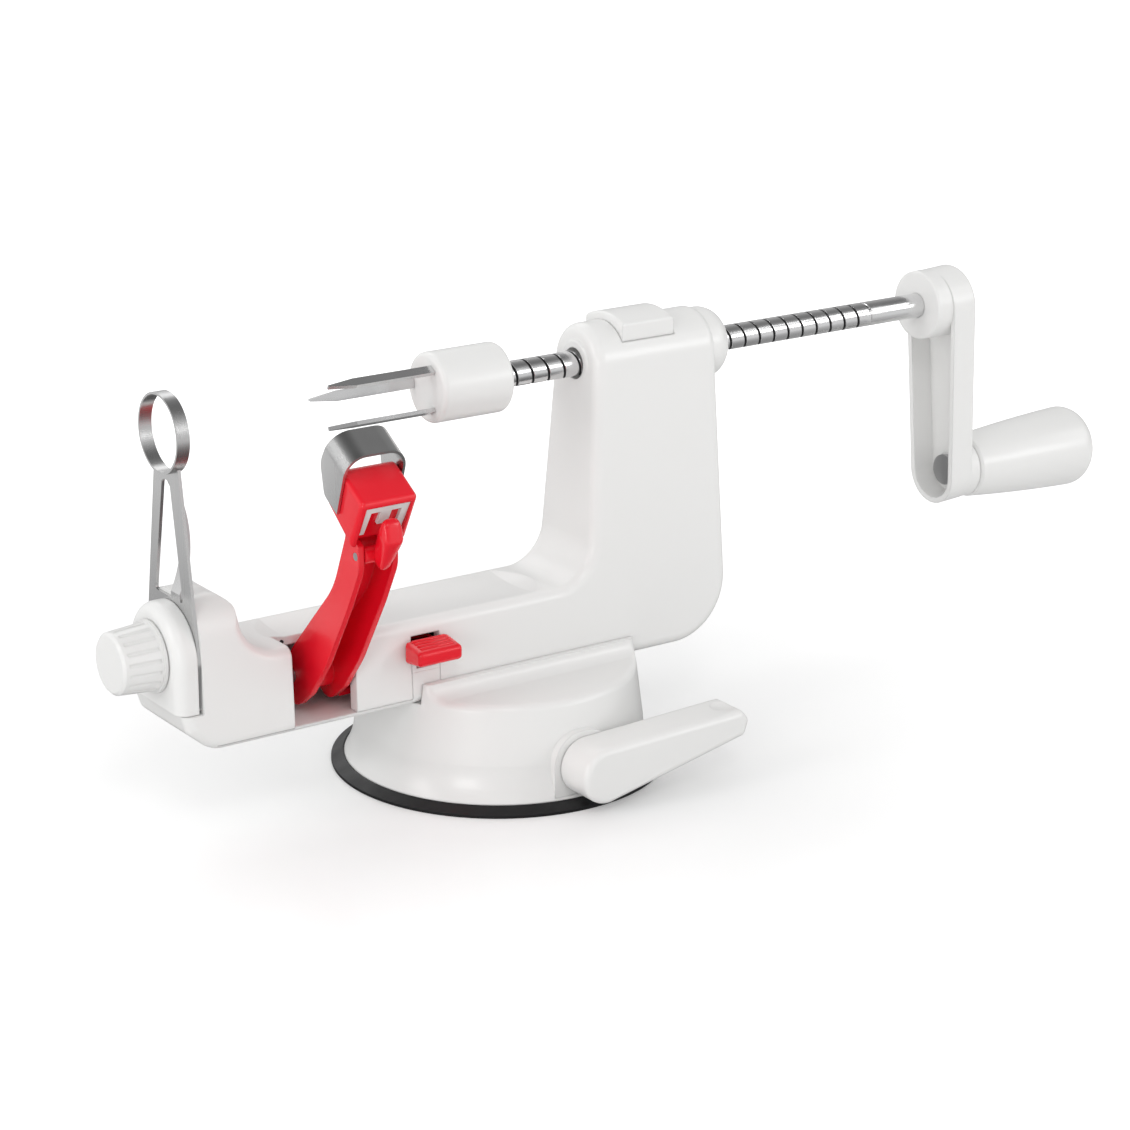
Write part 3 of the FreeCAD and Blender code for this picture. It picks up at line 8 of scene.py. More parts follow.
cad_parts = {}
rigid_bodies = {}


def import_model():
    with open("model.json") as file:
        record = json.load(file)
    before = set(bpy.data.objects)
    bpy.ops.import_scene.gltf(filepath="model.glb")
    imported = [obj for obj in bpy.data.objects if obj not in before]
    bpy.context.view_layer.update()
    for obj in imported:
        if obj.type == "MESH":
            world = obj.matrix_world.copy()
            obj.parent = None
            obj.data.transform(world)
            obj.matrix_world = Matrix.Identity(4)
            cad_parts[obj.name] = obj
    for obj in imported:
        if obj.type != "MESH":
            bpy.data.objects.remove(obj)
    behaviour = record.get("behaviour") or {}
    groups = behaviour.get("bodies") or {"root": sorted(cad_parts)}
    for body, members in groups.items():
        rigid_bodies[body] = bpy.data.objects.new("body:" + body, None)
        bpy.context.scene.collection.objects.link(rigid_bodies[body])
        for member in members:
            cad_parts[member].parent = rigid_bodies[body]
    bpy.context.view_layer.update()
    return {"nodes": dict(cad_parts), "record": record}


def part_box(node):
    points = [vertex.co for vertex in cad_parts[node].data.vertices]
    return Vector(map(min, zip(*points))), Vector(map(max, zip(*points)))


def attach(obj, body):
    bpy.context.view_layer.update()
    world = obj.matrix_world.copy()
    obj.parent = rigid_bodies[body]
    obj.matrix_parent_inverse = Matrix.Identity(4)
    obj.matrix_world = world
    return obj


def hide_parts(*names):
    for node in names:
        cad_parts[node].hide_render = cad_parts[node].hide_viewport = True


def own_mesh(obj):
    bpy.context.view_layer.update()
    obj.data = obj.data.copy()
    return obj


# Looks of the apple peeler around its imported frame, in metres
MM = 0.001

# Camera that sees the object as the photograph does
CAMERA_PLACE = Vector((-497.8, -747.6, 357.2)) * MM
CAMERA_TURN = math.radians(34.967)
CAMERA_DIP = math.radians(18.165)
CAMERA_ROLL = math.radians(0.312)
CAMERA_REACH = 50
FOCAL_PIXELS = 3066.0
IMAGE_PIXELS = 1130.0
SENSOR_MM = 36.0

# Spindle thread
ROD_R = 4.0 * MM
ROD_SIDES = 64
ROD_CHAMFER = 0.5 * MM
SPINDLE_Z = 122.6 * MM
THREAD_PITCH = 5.83 * MM
THREAD_LEFT = -5.94 * MM
THREAD_RIGHT = 144.3 * MM
THREAD_FADE = 0.5 * MM
GROOVE_DEPTH = 0.75 * MM
GROOVE_FLOOR = 0.50 * MM
GROOVE_FLANK = 0.26 * MM
GROOVE_LIP = 0.08 * MM
LIP_DEPTH = 0.10 * GROOVE_DEPTH
# Rows of the groove profile drawn in the near-black groove colour, as painted shade
SHADED_STEPS = (2, 3, 4)

# Arm lock, in mm: side profile of its grip as y and z, the ridges along its top as y and z,
# how a ridge swells in from its end as lengths and radii, then the other parts as boxes
GRIP_LEFT = -44.9
GRIP_RIGHT = -29.6
GRIP_PROFILE = [(-16.7, 44.2), (-16.7, 51.3), (-25.6, 49.9), (-25.6, 45.4)]
GRIP_ROUND = 1.3
GRIP_ROUND_STEPS = 5
RIDGES = [(-18.2, 51.0), (-19.8, 50.75), (-21.4, 50.5), (-23.0, 50.25)]
RIDGE_R = 0.55
RIDGE_INSET = 1.6
RIDGE_SIDES = 12
RIDGE_END = [(0.0, 0.05), (0.25, 0.6), (0.65, 0.9), (1.0, 1.0)]
LOCK_BLOCKS = [
    ((-39.9, -17.2, 44.9), (-34.1, -12.0, 49.6)),
    ((-41.6, -14.2, 44.9), (-32.4, -9.0, 49.6)),
    ((-41.6, -12.0, 39.5), (-32.4, -4.5, 49.5)),
    ((-44.6, -8.0, 34.9), (-39.6, -4.6, 42.2)),
    ((-62.2, -7.9, 35.0), (-41.5, 0.5, 37.2)),
]

# Springs: node, wire, turns, joint and travel, in mm
SPRINGS = [
    ("pawl_spring", 0.9, 5, "release_button_press", 3.0),
    ("lock_spring", 0.7, 3, "arm_lock_press", 2.2),
]
WIRE_SIDES = 10
COIL_STEPS = 24

# Foot of the lock's opening, closed by the cover's tongue with room for the neck, in mm
TONGUE_BLOCKS = [
    ((-41.85, -16.4, 40.2), (-32.15, -14.6, 41.7)),
    ((-41.85, -16.35, 41.6), (-40.35, -14.6, 44.3)),
    ((-33.65, -16.35, 41.6), (-32.15, -14.6, 44.3)),
]

# Latch, in mm on the arm's own axes: along the arm, half width, back and front,
# and its hub as place along and across the arm, outer and inner radius and half length
ARM_PIVOT = (-3.5, 43.1)
ARM_TILT = math.radians(31.6)
LATCH_X = -69.1
LATCH_RINGS = [
    (58.2, 0.6, 10.4, 12.4),
    (58.6, 1.3, 9.2, 13.4),
    (59.6, 1.7, 8.2, 13.9),
    (62.0, 2.1, 7.7, 14.1),
    (66.0, 2.7, 7.6, 14.2),
    (69.0, 3.2, 7.6, 14.2),
    (70.2, 3.3, 7.6, 14.1),
    (71.0, 3.3, 7.6, 13.4),
    (72.6, 3.1, 7.6, 11.9),
    (73.9, 2.6, 7.7, 10.7),
    (74.7, 1.5, 8.0, 9.8),
]
LATCH_SIDES = 24
LATCH_SQUARENESS = 0.62
LATCH_HUB = (59.5, 7.4, 2.6, 1.26, 4.5)
HUB_SIDES = 32

# Seam of the cover along the foot of the body, in mm
SEAM_Z = 31.7
SEAM_LEFT = -108.0
SEAM_RIGHT = -42.0
SEAM_FRONT = -15.0
SEAM_WIDTH = 0.40
SEAM_SHADE = 0.6

# Colours, linear
WHITE = (0.79, 0.788, 0.778)
RED = (0.78, 0.005, 0.018)
GREY = (0.66, 0.66, 0.65)
STEEL = (0.62, 0.62, 0.62)
BRIGHT = (0.74, 0.74, 0.745)
PIN = (0.45, 0.45, 0.455)
WIRE = (0.03, 0.03, 0.032)
# Painted shade: near-black colour for the floor and flanks of the thread's groove
GROOVE_SHADE = (0.05, 0.05, 0.052)
BRASS = (0.55, 0.38, 0.13)
RUBBER = (0.010, 0.010, 0.011)
FLOOR_DARK = (0.86, 0.86, 0.86)
FLOOR_LIGHT = (0.88, 0.88, 0.88)

# Finishes: corners eased in shading, and how the brushing and turning marks are drawn out
WHITE_EASE = 0.7 * MM
RED_EASE = 0.6 * MM
EASE_SAMPLES = 6
COAT_ROUGH = 0.12
CLOUD_SCALE = 22.0
PATCH_SCALE = 90.0
EVEN = (1, 1, 1)
AROUND = (1.0, 0.06, 0.06)
UPRIGHT = (1.0, 1.0, 0.05)

# Studio: ambient level at the horizon and overhead, then lamps by place, size and power
AMBIENT_LOW = 0.81
AMBIENT_TOP = 0.74
MIDDLE = (0.05, 0.0, 0.08)
LAMPS = [
    ("key", (-0.7, -1.3, 1.5), (0.4, 0.4), 3.7),
    ("side", (1.6, -0.9, 0.9), (0.5, 0.9), 3.6),
    ("right", (1.2, -1.5, 0.6), (0.4, 0.5), 3.1),
    ("back", (0.3, 1.5, 1.5), (1.6, 0.9), 5.1),
    ("left", (-1.6, 0.1, 0.7), (0.4, 0.9), 5.2),
    ("front", (0.1, -1.8, 0.5), (1.6, 0.8), 0.6),
    ("low", (-1.4, -0.9, 0.25), (0.5, 0.4), 3.8),
]

# Floor, which glows more the farther off it is, so that it meets the white behind it; the
# weaker glow near the object leaves a grey pool around it, painted shade
FLOOR_SPAN = 3.0
FLOOR_ROUGH = 0.35
FLOOR_CLOUD = 8.0
GLOW_NEAR = 0.10
GLOW_FAR = 0.70
GLOW_RANGE = (0.07, 0.50)

# What gloss sees: the room, the table near and far, and soft patches of light
# by bearing, height, tightness and strength
ROOM = 0.02
TABLE_NEAR = 0.11
TABLE_FAR = 0.78
TABLE_RANGE = (0.10, 0.40)
PATCHES = [
    (-60, 15, 8.0, 0.82),
    (-25, 15, 8.0, 0.22),
    (50, 15, 6.0, 0.28),
    (95, 15, 6.0, 0.78),
    (140, 15, 6.0, 0.87),
    (-30, 52, 8.0, 0.05),
    (30, 52, 8.0, 0.11),
    (90, 52, 8.0, 0.15),
]


# Material nodes

def tree_of(name):
    material = bpy.data.materials.new(name)
    material.use_nodes = True
    nodes = material.node_tree.nodes
    return material, nodes, material.node_tree.links, nodes["Principled BSDF"]


def object_place(nodes):
    return nodes.new("ShaderNodeTexCoord").outputs["Object"]


def math_node(nodes, links, operation, *values):
    node = nodes.new("ShaderNodeMath")
    node.operation = operation
    for socket, value in zip(node.inputs, values):
        if isinstance(value, (int, float)):
            socket.default_value = value
        else:
            links.new(value, socket)
    return node.outputs[0]


def noise(nodes, links, coords, scale, detail=3.0, stretch=EVEN):
    mapping = nodes.new("ShaderNodeMapping")
    mapping.inputs["Scale"].default_value = stretch
    links.new(coords, mapping.inputs["Vector"])
    texture = nodes.new("ShaderNodeTexNoise")
    texture.inputs["Scale"].default_value = scale
    texture.inputs["Detail"].default_value = detail
    links.new(mapping.outputs["Vector"], texture.inputs["Vector"])
    return texture.outputs["Fac"]


def remap(nodes, links, value, low, high, start=0.3, stop=0.7):
    ranged = nodes.new("ShaderNodeMapRange")
    ranged.inputs["From Min"].default_value = start
    ranged.inputs["From Max"].default_value = stop
    ranged.inputs["To Min"].default_value = low
    ranged.inputs["To Max"].default_value = high
    links.new(value, ranged.inputs["Value"])
    return ranged.outputs["Result"]


def tint(nodes, links, factor, dark, light):
    mix = nodes.new("ShaderNodeMix")
    mix.data_type = "RGBA"
    mix.inputs["A"].default_value = (*dark, 1)
    mix.inputs["B"].default_value = (*light, 1)
    links.new(factor, mix.inputs["Factor"])
    return mix.outputs["Result"]


def bump(nodes, links, height, distance, below=None):
    node = nodes.new("ShaderNodeBump")
    node.inputs["Strength"].default_value = 1.0
    node.inputs["Distance"].default_value = distance
    links.new(height, node.inputs["Height"])
    if below is not None:
        links.new(below, node.inputs["Normal"])
    return node.outputs["Normal"]


def scaled(colour, factor):
    return tuple(min(c * factor, 1.0) for c in colour)


def between(nodes, links, value, low, high):
    # 1 inside a range, 0 outside
    above = math_node(nodes, links, "GREATER_THAN", value, low)
    under = math_node(nodes, links, "LESS_THAN", value, high)
    return math_node(nodes, links, "MULTIPLY", above, under)


def shows(nodes, links):
    # 1 for rays of the camera, of gloss and through glass
    path = nodes.new("ShaderNodeLightPath").outputs
    first = math_node(nodes, links, "MAXIMUM", path["Is Camera Ray"], path["Is Glossy Ray"])
    return math_node(nodes, links, "MAXIMUM", first, path["Is Transmission Ray"])


# Finishes

def surface(name, colour, rough, spread=0.06, vary=0.03, grain=900.0, depth=0.00002,
            stretch=EVEN, metallic=0.0, coat=0.0, soft=0.0):
    # Finish with cloudy colour, uneven gloss, eased corners and a fine relief
    material, nodes, links, shader = tree_of(name)
    coords = object_place(nodes)
    cloud = remap(nodes, links, noise(nodes, links, coords, CLOUD_SCALE, 2.0), 0, 1)
    base = tint(nodes, links, cloud, scaled(colour, 1 - vary), scaled(colour, 1 + vary))
    links.new(base, shader.inputs["Base Color"])
    patch = noise(nodes, links, coords, PATCH_SCALE, 3.0, stretch)
    gloss = remap(nodes, links, patch, rough - spread, rough + spread)
    links.new(gloss, shader.inputs["Roughness"])
    corners = None
    if soft:
        bevel = nodes.new("ShaderNodeBevel")
        bevel.samples = EASE_SAMPLES
        bevel.inputs["Radius"].default_value = soft
        corners = bevel.outputs["Normal"]
    fine = noise(nodes, links, coords, grain, 2.0, stretch)
    links.new(bump(nodes, links, fine, depth, corners), shader.inputs["Normal"])
    shader.inputs["Metallic"].default_value = metallic
    shader.inputs["Coat Weight"].default_value = coat
    shader.inputs["Coat Roughness"].default_value = COAT_ROUGH
    return material


def white_finish(name):
    return surface(name, WHITE, 0.30, 0.01, 0.006, 420, 0.000002, coat=0.14, soft=WHITE_EASE)


def make_finishes():
    return {
        "white_plastic": white_finish("moulded_white"),
        "red_plastic": surface("moulded_red", RED, 0.24, 0.012, 0.02, 420, 0.000002,
                               coat=0.25, soft=RED_EASE),
        "grey_plastic": surface("moulded_grey", GREY, 0.42, 0.06, 0.03, 900, 0.00001),
        "bright_steel": surface("bright_plated", BRIGHT, 0.20, 0.06, 0.05, 2400, 0.000008,
                                AROUND, 1.0),
        "blade_steel": surface("brushed_blade", STEEL, 0.25, 0.07, 0.07, 2600, 0.00001,
                               UPRIGHT, 1.0),
        "pin_steel": surface("turned_pin", PIN, 0.34, 0.08, 0.06, 2600, 0.00002, AROUND, 1.0),
        "spring_steel": surface("oiled_wire", WIRE, 0.36, 0.08, 0.2, 1800, 0.00002,
                                metallic=0.6),
        "insert_brass": surface("cut_brass", BRASS, 0.3, 0.08, 0.1, 2200, 0.00002, AROUND, 1.0),
        "black_rubber": surface("soft_rubber", RUBBER, 0.50, 0.10, 0.15, 1500, 0.00004),
    }


def add_seam(material):
    # Fine shadow line where the cover meets the body
    nodes, links = material.node_tree.nodes, material.node_tree.links
    base = nodes["Principled BSDF"].inputs["Base Color"]
    split = nodes.new("ShaderNodeSeparateXYZ")
    links.new(object_place(nodes), split.inputs[0])
    x, y, z = (split.outputs[axis] for axis in "XYZ")
    half = SEAM_WIDTH / 2
    level = between(nodes, links, z, (SEAM_Z - half) * MM, (SEAM_Z + half) * MM)
    along = between(nodes, links, x, SEAM_LEFT * MM, SEAM_RIGHT * MM)
    front = math_node(nodes, links, "LESS_THAN", y, SEAM_FRONT * MM)
    line = math_node(nodes, links, "MULTIPLY", level, along)
    mix = nodes.new("ShaderNodeMix")
    mix.data_type = "RGBA"
    mix.inputs["B"].default_value = (*scaled(WHITE, SEAM_SHADE), 1)
    links.new(base.links[0].from_socket, mix.inputs["A"])
    links.new(math_node(nodes, links, "MULTIPLY", line, front), mix.inputs["Factor"])
    links.new(mix.outputs["Result"], base)
    return material


def paint_frame(frame, finishes):
    slots = {part["node"]: part["material_slot"] for part in frame["record"]["subparts"]}
    for name, node in frame["nodes"].items():
        node.data.materials.clear()
        node.data.materials.append(finishes[slots[name]])
    frame["nodes"]["body_frame"].data.materials[0] = add_seam(white_finish("seamed_white"))


# Meshes

def new_piece(name, verts, faces, finish, body):
    mesh = bpy.data.meshes.new(name)
    mesh.from_pydata(verts, [], faces)
    mesh.materials.append(finish)
    piece = bpy.data.objects.new(name, mesh)
    bpy.context.scene.collection.objects.link(piece)
    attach(piece, body)
    return piece


def tidy_mesh(piece, sharp=35):
    work = bmesh.new()
    work.from_mesh(piece.data)
    bmesh.ops.remove_doubles(work, verts=work.verts, dist=0.01 * MM)
    bmesh.ops.recalc_face_normals(work, faces=work.faces)
    work.to_mesh(piece.data)
    work.free()
    piece.data.shade_smooth()
    piece.data.set_sharp_from_angle(angle=math.radians(sharp))


def turned(sides):
    # Cosine and sine of each side of a ring
    angles = [2 * math.pi * j / sides for j in range(sides)]
    return [(math.cos(angle), math.sin(angle)) for angle in angles]


def tube_faces(start, rings, sides):
    faces = []
    for s in range(rings - 1):
        for j in range(sides):
            a = start + s * sides + j
            b = start + s * sides + (j + 1) % sides
            faces.append((a, b, b + sides, a + sides))
    return faces


def end_face(start, sides):
    return tuple(range(start, start + sides))


def closed_tube(start, rings, sides):
    first, last = end_face(start, sides), end_face(start + (rings - 1) * sides, sides)
    return tube_faces(start, rings, sides) + [first, last]


def box_faces(verts, faces, low, high):
    start = len(verts)
    for x in (low[0], high[0]):
        for y in (low[1], high[1]):
            for z in (low[2], high[2]):
                verts.append((x * MM, y * MM, z * MM))
    for quad in (
        (0, 1, 3, 2), (4, 6, 7, 5), (0, 4, 5, 1),
        (2, 3, 7, 6), (0, 2, 6, 4), (1, 5, 7, 3),
    ):
        faces.append(tuple(start + i for i in quad))


def eased(piece, width, segments):
    bevel = piece.modifiers.new("ease", "BEVEL")
    bevel.width = width * MM
    bevel.segments = segments
    bevel.limit_method = "ANGLE"
    bevel.angle_limit = math.radians(30)
    bevel.harden_normals = True


# Spindle

def thread_profile():
    # Places along one pitch and their depth below the land
    half = GROOVE_FLOOR / 2
    lip = half + GROOVE_FLANK
    mid = THREAD_PITCH / 2
    return [
        (0.0, 0.0),
        (mid - lip, 0.0),
        (mid - lip + GROOVE_LIP, LIP_DEPTH),
        (mid - half, GROOVE_DEPTH),
        (mid + half, GROOVE_DEPTH),
        (mid + lip - GROOVE_LIP, LIP_DEPTH),
        (mid + lip, 0.0),
    ]


def rod_point(x, r, c, s):
    return x, -r * s, SPINDLE_Z + r * c


def thread_point(along, depth, c, s):
    # The groove starts at once and fades out before the crank
    inside = THREAD_LEFT < along < THREAD_RIGHT
    fade = min(1.0, max(0.0, (THREAD_RIGHT - along) / THREAD_FADE))
    r = ROD_R - (depth * fade if inside else 0.0)
    return rod_point(min(max(along, THREAD_LEFT), THREAD_RIGHT), r, c, s)


def threaded_rod(finish, groove):
    # Rod with a right-hand helical groove, each column of points shifted by its turn
    low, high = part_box("spindle_rod")
    circle = turned(ROD_SIDES)
    profile = thread_profile()
    step = len(profile)
    turns = int((THREAD_RIGHT - THREAD_LEFT) / THREAD_PITCH) + 2
    rows = [(k, m) for k in range(-1, turns) for m in range(step)]
    count = len(rows)
    verts = []
    for j, (c, s) in enumerate(circle):
        for k, m in rows:
            along, depth = profile[m]
            x = THREAD_LEFT + THREAD_PITCH * (k + j / ROD_SIDES) + along
            verts.append(thread_point(x, depth, c, s))
    faces = []
    shaded_faces = []
    for j in range(ROD_SIDES):
        for i in range(count - 1):
            # The last column joins the first one a pitch further on
            a, b = j * count + i, (j + 1) * count + i
            if j == ROD_SIDES - 1:
                b = i + step
                if b + 1 >= count:
                    continue
            grooved = THREAD_LEFT < verts[a][0] < THREAD_RIGHT - THREAD_PITCH / 4
            # The groove's floor and flanks take the second, near-black material: painted shade
            if rows[i][1] in SHADED_STEPS and grooved:
                shaded_faces.append(len(faces))
            faces.append((a, a + 1, b + 1, b))
    # Plain ends inside the hub and up to the crank
    inner = ROD_R - ROD_CHAMFER
    left = [(low.x, inner), (low.x + ROD_CHAMFER, ROD_R), (THREAD_LEFT, ROD_R)]
    right = [(THREAD_RIGHT, ROD_R), (high.x - ROD_CHAMFER, ROD_R), (high.x, inner)]
    for stations, tip in ((left, 0), (right, 2)):
        start = len(verts)
        verts += [rod_point(x, r, c, s) for x, r in stations for c, s in circle]
        faces += tube_faces(start, len(stations), ROD_SIDES)
        faces.append(end_face(start + tip * ROD_SIDES, ROD_SIDES))
    rod = new_piece("threaded_rod", verts, faces, finish, "spindle")
    # Second material: painted shade for the groove faces
    rod.data.materials.append(groove)
    for i in shaded_faces:
        rod.data.polygons[i].material_index = 1
    tidy_mesh(rod)
    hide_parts("spindle_rod")


# Arm lock

def ridge(verts, faces, y, z):
    ends = [(RIDGE_R * along, RIDGE_R * r) for along, r in RIDGE_END]
    stations = [(GRIP_LEFT + RIDGE_INSET + along, r) for along, r in ends]
    stations += [(GRIP_RIGHT - RIDGE_INSET - along, r) for along, r in reversed(ends)]
    start = len(verts)
    for x, r in stations:
        for c, s in turned(RIDGE_SIDES):
            verts.append((x * MM, (y + r * s) * MM, (z + r * c) * MM))
    faces += closed_tube(start, len(stations), RIDGE_SIDES)


def lock_pieces(finish):
    # Grip with ridges along its top, and the neck and bar behind it
    n = len(GRIP_PROFILE)
    verts = [(x * MM, y * MM, z * MM) for x in (GRIP_LEFT, GRIP_RIGHT) for y, z in GRIP_PROFILE]
    faces = [tuple(range(n)), tuple(range(2 * n - 1, n - 1, -1))]
    faces += [(i, i + n, (i + 1) % n + n, (i + 1) % n) for i in range(n)]
    grip = new_piece("lock_grip", verts, faces, finish, "lock")
    tidy_mesh(grip)
    eased(grip, GRIP_ROUND, GRIP_ROUND_STEPS)
    verts, faces = [], []
    for y, z in RIDGES:
        ridge(verts, faces, y, z)
    for low, high in LOCK_BLOCKS:
        box_faces(verts, faces, low, high)
    works = new_piece("lock_works", verts, faces, finish, "lock")
    tidy_mesh(works)
    for piece in (grip, works):
        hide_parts("lock_button")


def tongue_filler(finish):
    verts, faces = [], []
    for low, high in TONGUE_BLOCKS:
        box_faces(verts, faces, low, high)
    piece = new_piece("tongue_top", verts, faces, finish, "frame")
    tidy_mesh(piece)


# Latch under the blade head

def arm_place(x, u, w):
    # Point of the arm, u along it and w towards its open front
    y = ARM_PIVOT[0] - u * math.sin(ARM_TILT) - w * math.cos(ARM_TILT)
    z = ARM_PIVOT[1] + u * math.cos(ARM_TILT) - w * math.sin(ARM_TILT)
    return x * MM, y * MM, z * MM


def squarish(value):
    return math.copysign(abs(value) ** LATCH_SQUARENESS, value)


def latch_pieces(finish):
    # Thumb catch with soft corners, and the hub on its pin
    verts = []
    for u, half, back, front in LATCH_RINGS:
        for c, s in turned(LATCH_SIDES):
            w = (front + back) / 2 + (front - back) / 2 * squarish(s)
            verts.append(arm_place(LATCH_X + half * squarish(c), u, w))
    faces = closed_tube(0, len(LATCH_RINGS), LATCH_SIDES)
    catch = new_piece("latch_catch", verts, faces, finish, "latch")
    tidy_mesh(catch, sharp=80)
    round_off = catch.modifiers.new("round_off", "SUBSURF")
    round_off.levels = round_off.render_levels = 2
    u, w, outer, inner, half = LATCH_HUB
    outline = [(-half, inner), (-half, outer), (half, outer), (half, inner), (-half, inner)]
    verts = []
    for x, r in outline:
        for c, s in turned(HUB_SIDES):
            verts.append(arm_place(LATCH_X + x, u + r * c, w + r * s))
    faces = tube_faces(0, len(outline), HUB_SIDES)
    hub = new_piece("latch_hub", verts, faces, finish, "latch")
    tidy_mesh(hub)
    for piece in (catch, hub):
        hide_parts("head_latch")


# Springs under the buttons

def coil_spring(node, wire, turns, finish):
    # Helical wire between the ends of its solid
    low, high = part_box(node)
    wire = wire * MM
    radius = (high.x - low.x - wire) / 2
    height = high.z - low.z
    mid_x, mid_y = (low.x + high.x) / 2, (low.y + high.y) / 2
    steps = turns * COIL_STEPS
    verts = []
    for i in range(steps + 1):
        turn = 2 * math.pi * i / COIL_STEPS
        rise = low.z + wire / 2 + (height - wire) * i / steps
        for c, s in turned(WIRE_SIDES):
            r = radius + wire / 2 * c
            x, y = mid_x + r * math.cos(turn), mid_y + r * math.sin(turn)
            verts.append((x, y, rise + wire / 2 * s))
    faces = closed_tube(0, steps + 1, WIRE_SIDES)
    coil = new_piece(node + "_coil", verts, faces, finish, "frame")
    tidy_mesh(coil)
    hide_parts(node)
    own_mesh(coil)


# Camera, light and floor

def make_camera():
    sin_t, cos_t = math.sin(CAMERA_TURN), math.cos(CAMERA_TURN)
    sin_e, cos_e = math.sin(CAMERA_DIP), math.cos(CAMERA_DIP)
    sin_r, cos_r = math.sin(CAMERA_ROLL), math.cos(CAMERA_ROLL)
    right = Vector((cos_t, -sin_t, 0))
    up = Vector((sin_t * sin_e, cos_t * sin_e, cos_e))
    ahead = Vector((sin_t * cos_e, cos_t * cos_e, -sin_e))
    axes = (right * cos_r + up * sin_r, up * cos_r - right * sin_r, -ahead)
    data = bpy.data.cameras.new("camera")
    data.sensor_width = SENSOR_MM
    data.sensor_fit = "HORIZONTAL"
    data.lens = FOCAL_PIXELS / IMAGE_PIXELS * SENSOR_MM
    data.clip_end = CAMERA_REACH
    camera = bpy.data.objects.new("camera", data)
    matrix = Matrix(axes).transposed().to_4x4()
    matrix.translation = CAMERA_PLACE
    camera.matrix_world = matrix
    bpy.context.scene.collection.objects.link(camera)
    bpy.context.scene.camera = camera


def make_lights():
    for name, place, size, power in LAMPS:
        data = bpy.data.lights.new(name, "AREA")
        data.shape = "RECTANGLE"
        data.size, data.size_y = size
        data.energy = power
        lamp = bpy.data.objects.new(name, data)
        lamp.location = place
        facing = (Vector(MIDDLE) - Vector(place)).to_track_quat("-Z", "Y")
        lamp.rotation_euler = facing.to_euler()
        bpy.context.scene.collection.objects.link(lamp)


def studio_patches(nodes, links):
    # Soft patches of light around a dim room
    direction = nodes.new("ShaderNodeTexCoord").outputs["Generated"]
    total = ROOM
    for bearing, height, tight, power in PATCHES:
        a, h = math.radians(bearing), math.radians(height)
        towards = (math.cos(h) * math.cos(a), math.cos(h) * math.sin(a), math.sin(h))
        near = nodes.new("ShaderNodeVectorMath")
        near.operation = "DOT_PRODUCT"
        near.inputs[1].default_value = towards
        links.new(direction, near.inputs[0])
        fall = math_node(nodes, links, "MULTIPLY_ADD", near.outputs["Value"], tight, -tight)
        patch = math_node(nodes, links, "EXPONENT", fall)
        total = math_node(nodes, links, "MULTIPLY_ADD", patch, power, total)
    return total


def make_world():
    # White to the eye, the ambient level to matt surfaces and the patches to gloss
    world = bpy.data.worlds.new("studio")
    bpy.context.scene.world = world
    world.use_nodes = True
    nodes, links = world.node_tree.nodes, world.node_tree.links
    split = nodes.new("ShaderNodeSeparateXYZ")
    links.new(nodes.new("ShaderNodeTexCoord").outputs["Generated"], split.inputs[0])
    ambient = remap(nodes, links, split.outputs["Z"], AMBIENT_LOW, AMBIENT_TOP, 0, 1)
    seen = nodes.new("ShaderNodeMix")
    links.new(ambient, seen.inputs["A"])
    seen.inputs["B"].default_value = 1.0
    links.new(shows(nodes, links), seen.inputs["Factor"])
    glossy = nodes.new("ShaderNodeLightPath").outputs["Is Glossy Ray"]
    gloss = nodes.new("ShaderNodeMix")
    links.new(glossy, gloss.inputs["Factor"])
    links.new(seen.outputs["Result"], gloss.inputs["A"])
    links.new(studio_patches(nodes, links), gloss.inputs["B"])
    back = nodes["Background"]
    links.new(gloss.outputs["Result"], back.inputs["Strength"])
    back.inputs["Color"].default_value = (1, 1, 1, 1)


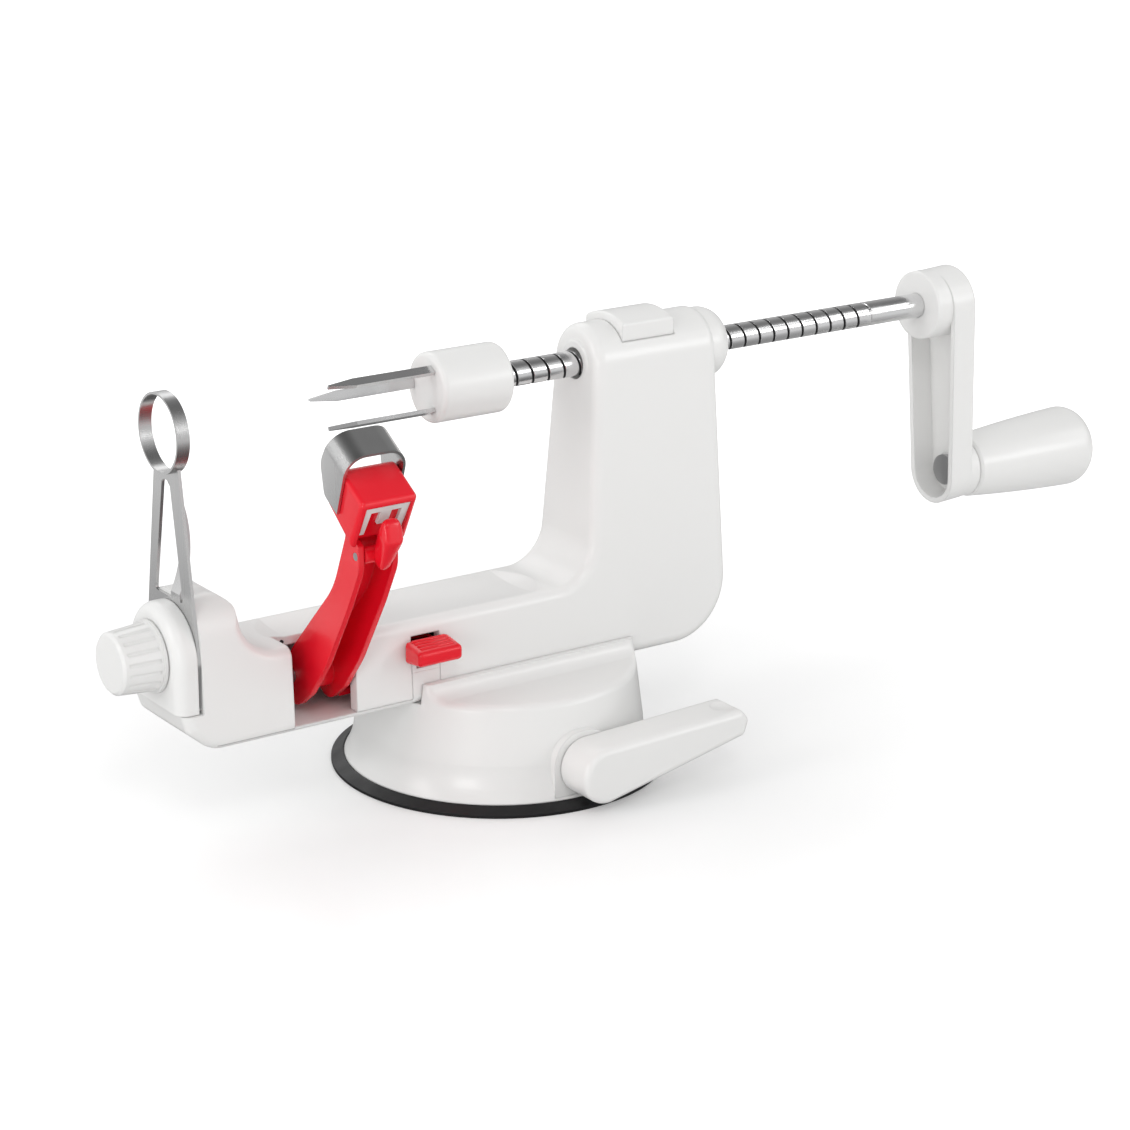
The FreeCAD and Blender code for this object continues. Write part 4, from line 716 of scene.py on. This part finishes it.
def make_floor():
    mesh = bpy.data.meshes.new("floor")
    span = FLOOR_SPAN
    corners = [(-span, -span, 0), (span, -span, 0), (span, span, 0), (-span, span, 0)]
    mesh.from_pydata(corners, [], [(0, 1, 2, 3)])
    floor = bpy.data.objects.new("floor", mesh)
    bpy.context.scene.collection.objects.link(floor)
    material, nodes, links, shader = tree_of("pale_floor")
    coords = object_place(nodes)
    cloud = noise(nodes, links, coords, FLOOR_CLOUD)
    links.new(tint(nodes, links, cloud, FLOOR_DARK, FLOOR_LIGHT), shader.inputs["Base Color"])
    shader.inputs["Roughness"].default_value = FLOOR_ROUGH
    shader.inputs["Emission Color"].default_value = (1, 1, 1, 1)
    length = nodes.new("ShaderNodeVectorMath")
    length.operation = "LENGTH"
    links.new(coords, length.inputs[0])
    away = length.outputs["Value"]
    # Weaker glow near the object: painted shade on the floor around it
    glow = remap(nodes, links, away, GLOW_NEAR, GLOW_FAR, *GLOW_RANGE)
    glow = math_node(nodes, links, "MULTIPLY", glow, shows(nodes, links))
    links.new(glow, shader.inputs["Emission Strength"])
    # Gloss sees a table that is dark near the object and brighter farther off
    table = nodes.new("ShaderNodeEmission")
    level = remap(nodes, links, away, TABLE_NEAR, TABLE_FAR, *TABLE_RANGE)
    links.new(level, table.inputs["Strength"])
    glossy = nodes.new("ShaderNodeLightPath").outputs["Is Glossy Ray"]
    mix = nodes.new("ShaderNodeMixShader")
    links.new(glossy, mix.inputs["Fac"])
    links.new(shader.outputs[0], mix.inputs[1])
    links.new(table.outputs[0], mix.inputs[2])
    links.new(mix.outputs[0], nodes["Material Output"].inputs["Surface"])
    mesh.materials.append(material)


bpy.ops.object.select_all(action="SELECT")
bpy.ops.object.delete()
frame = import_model()
bpy.context.scene.view_settings.view_transform = "Standard"

make_camera()
make_world()
make_lights()
make_floor()
finishes = make_finishes()
# Near-black material for the thread's groove: painted shade
painted_groove_shade = surface("painted_groove_shade", GROOVE_SHADE, 0.45, 0.06, 0.2, 2000, 0.00001, metallic=0.5)
paint_frame(frame, finishes)
threaded_rod(finishes["bright_steel"], painted_groove_shade)
lock_pieces(finishes["red_plastic"])
tongue_filler(finishes["white_plastic"])
latch_pieces(finishes["red_plastic"])
for node, wire, turns, joint, travel in SPRINGS:
    coil_spring(node, wire, turns, finishes["spring_steel"])
